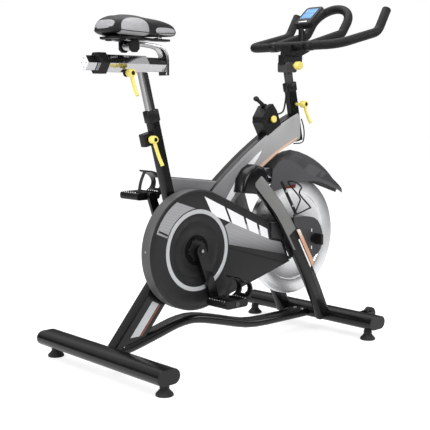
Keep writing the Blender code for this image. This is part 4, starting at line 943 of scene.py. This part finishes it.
# ---------------------------------------------------------------- stage, light and camera
def build_stage():
    bpy.ops.mesh.primitive_plane_add(size=40, location=(0, 0, 0))
    floor = bpy.context.object
    floor.name = "floor"
    g = Graph("floor_white")
    g.shader.inputs["Emission Color"].default_value = (1, 1, 1, 1)
    x, y, _ = g.axes()
    far = g.math("SQRT", g.math("ADD", g.math("MULTIPLY", x, x), g.math("MULTIPLY", y, y)))
    seen = g.add("ShaderNodeLightPath").outputs["Is Camera Ray"]
    dim = g.span(far, 0.9, 2.6, 0.50, 0.02)
    glow = g.math("ADD", g.math("MULTIPLY", seen, 0.70),
                  g.math("MULTIPLY", g.math("SUBTRACT", 1.0, seen), dim))
    g.plug(glow, g.shader.inputs["Emission Strength"])
    floor.data.materials.append(g.done(g.blend(g.noise(0.5), (0.50, 0.50, 0.50), (0.52, 0.52, 0.52)), 0.8,
                                       specular=0.1))

    world = bpy.data.worlds.new("studio")
    SCENE.world = world
    world.use_nodes = True
    tree = world.node_tree
    back = tree.nodes["Background"]
    spot = tree.nodes.new("ShaderNodeTexCoord")
    split = tree.nodes.new("ShaderNodeSeparateXYZ")
    ramp = tree.nodes.new("ShaderNodeValToRGB")
    tree.links.new(spot.outputs["Generated"], split.inputs[0])
    tree.links.new(split.outputs[2], ramp.inputs["Fac"])
    ramp.color_ramp.elements[0].position, ramp.color_ramp.elements[0].color = 0.0, (0.10, 0.10, 0.10, 1)
    ramp.color_ramp.elements[1].position, ramp.color_ramp.elements[1].color = 1.0, (1.0, 1.0, 1.0, 1)
    for position, level in ((0.10, 0.05), (0.26, 0.16), (0.50, 0.85)):
        ramp.color_ramp.elements.new(position).color = (level, level, level * 1.01, 1)
    pale = tree.nodes.new("ShaderNodeBackground")
    pale.inputs["Color"].default_value = (1, 1, 1, 1)
    pale.inputs["Strength"].default_value = 1.0
    back.inputs["Strength"].default_value = 0.75
    tree.links.new(ramp.outputs["Color"], back.inputs["Color"])
    seen = tree.nodes.new("ShaderNodeLightPath")
    mix = tree.nodes.new("ShaderNodeMixShader")
    tree.links.new(seen.outputs["Is Camera Ray"], mix.inputs[0])
    tree.links.new(back.outputs[0], mix.inputs[1])
    tree.links.new(pale.outputs[0], mix.inputs[2])
    tree.links.new(mix.outputs[0], tree.nodes["World Output"].inputs["Surface"])

    for name, place, size, power in (("key", (-1.4, -3.2, 3.0), 2.2, 95),
                                     ("side", (-3.4, 0.8, 1.6), 1.4, 55),
                                     ("fill", (3.0, -2.6, 2.2), 1.8, 35),
                                     ("top", (0.2, 0.6, 3.6), 3.0, 70)):
        lamp = bpy.data.lights.new(name, "AREA")
        lamp.energy, lamp.size = power, size
        made = bpy.data.objects.new(name, lamp)
        made.location = place
        made.rotation_euler = (Vector((0, 0, 0.55)) - Vector(place)).to_track_quat("-Z", "Y").to_euler()
        SCENE.collection.objects.link(made)

    lens = bpy.data.cameras.new("photo_camera")
    lens.lens, lens.sensor_width = 77.6, 36.0
    camera = bpy.data.objects.new("photo_camera", lens)
    camera.location = (-2.01827 + SHIFT, -2.18151, 0.80610)
    camera.rotation_euler = (radians(90 - 7.056), 0, radians(-42.637))
    SCENE.collection.objects.link(camera)
    SCENE.camera = camera
    SCENE.view_settings.view_transform = "Standard"


build_stage()
dress_frame()
dress_prints()
dress_collars()
dress_guard()
dress_axle()
dress_cranks()
dress_front()
dress_controls()
dress_seat()
dress_bar()
dress_feet()
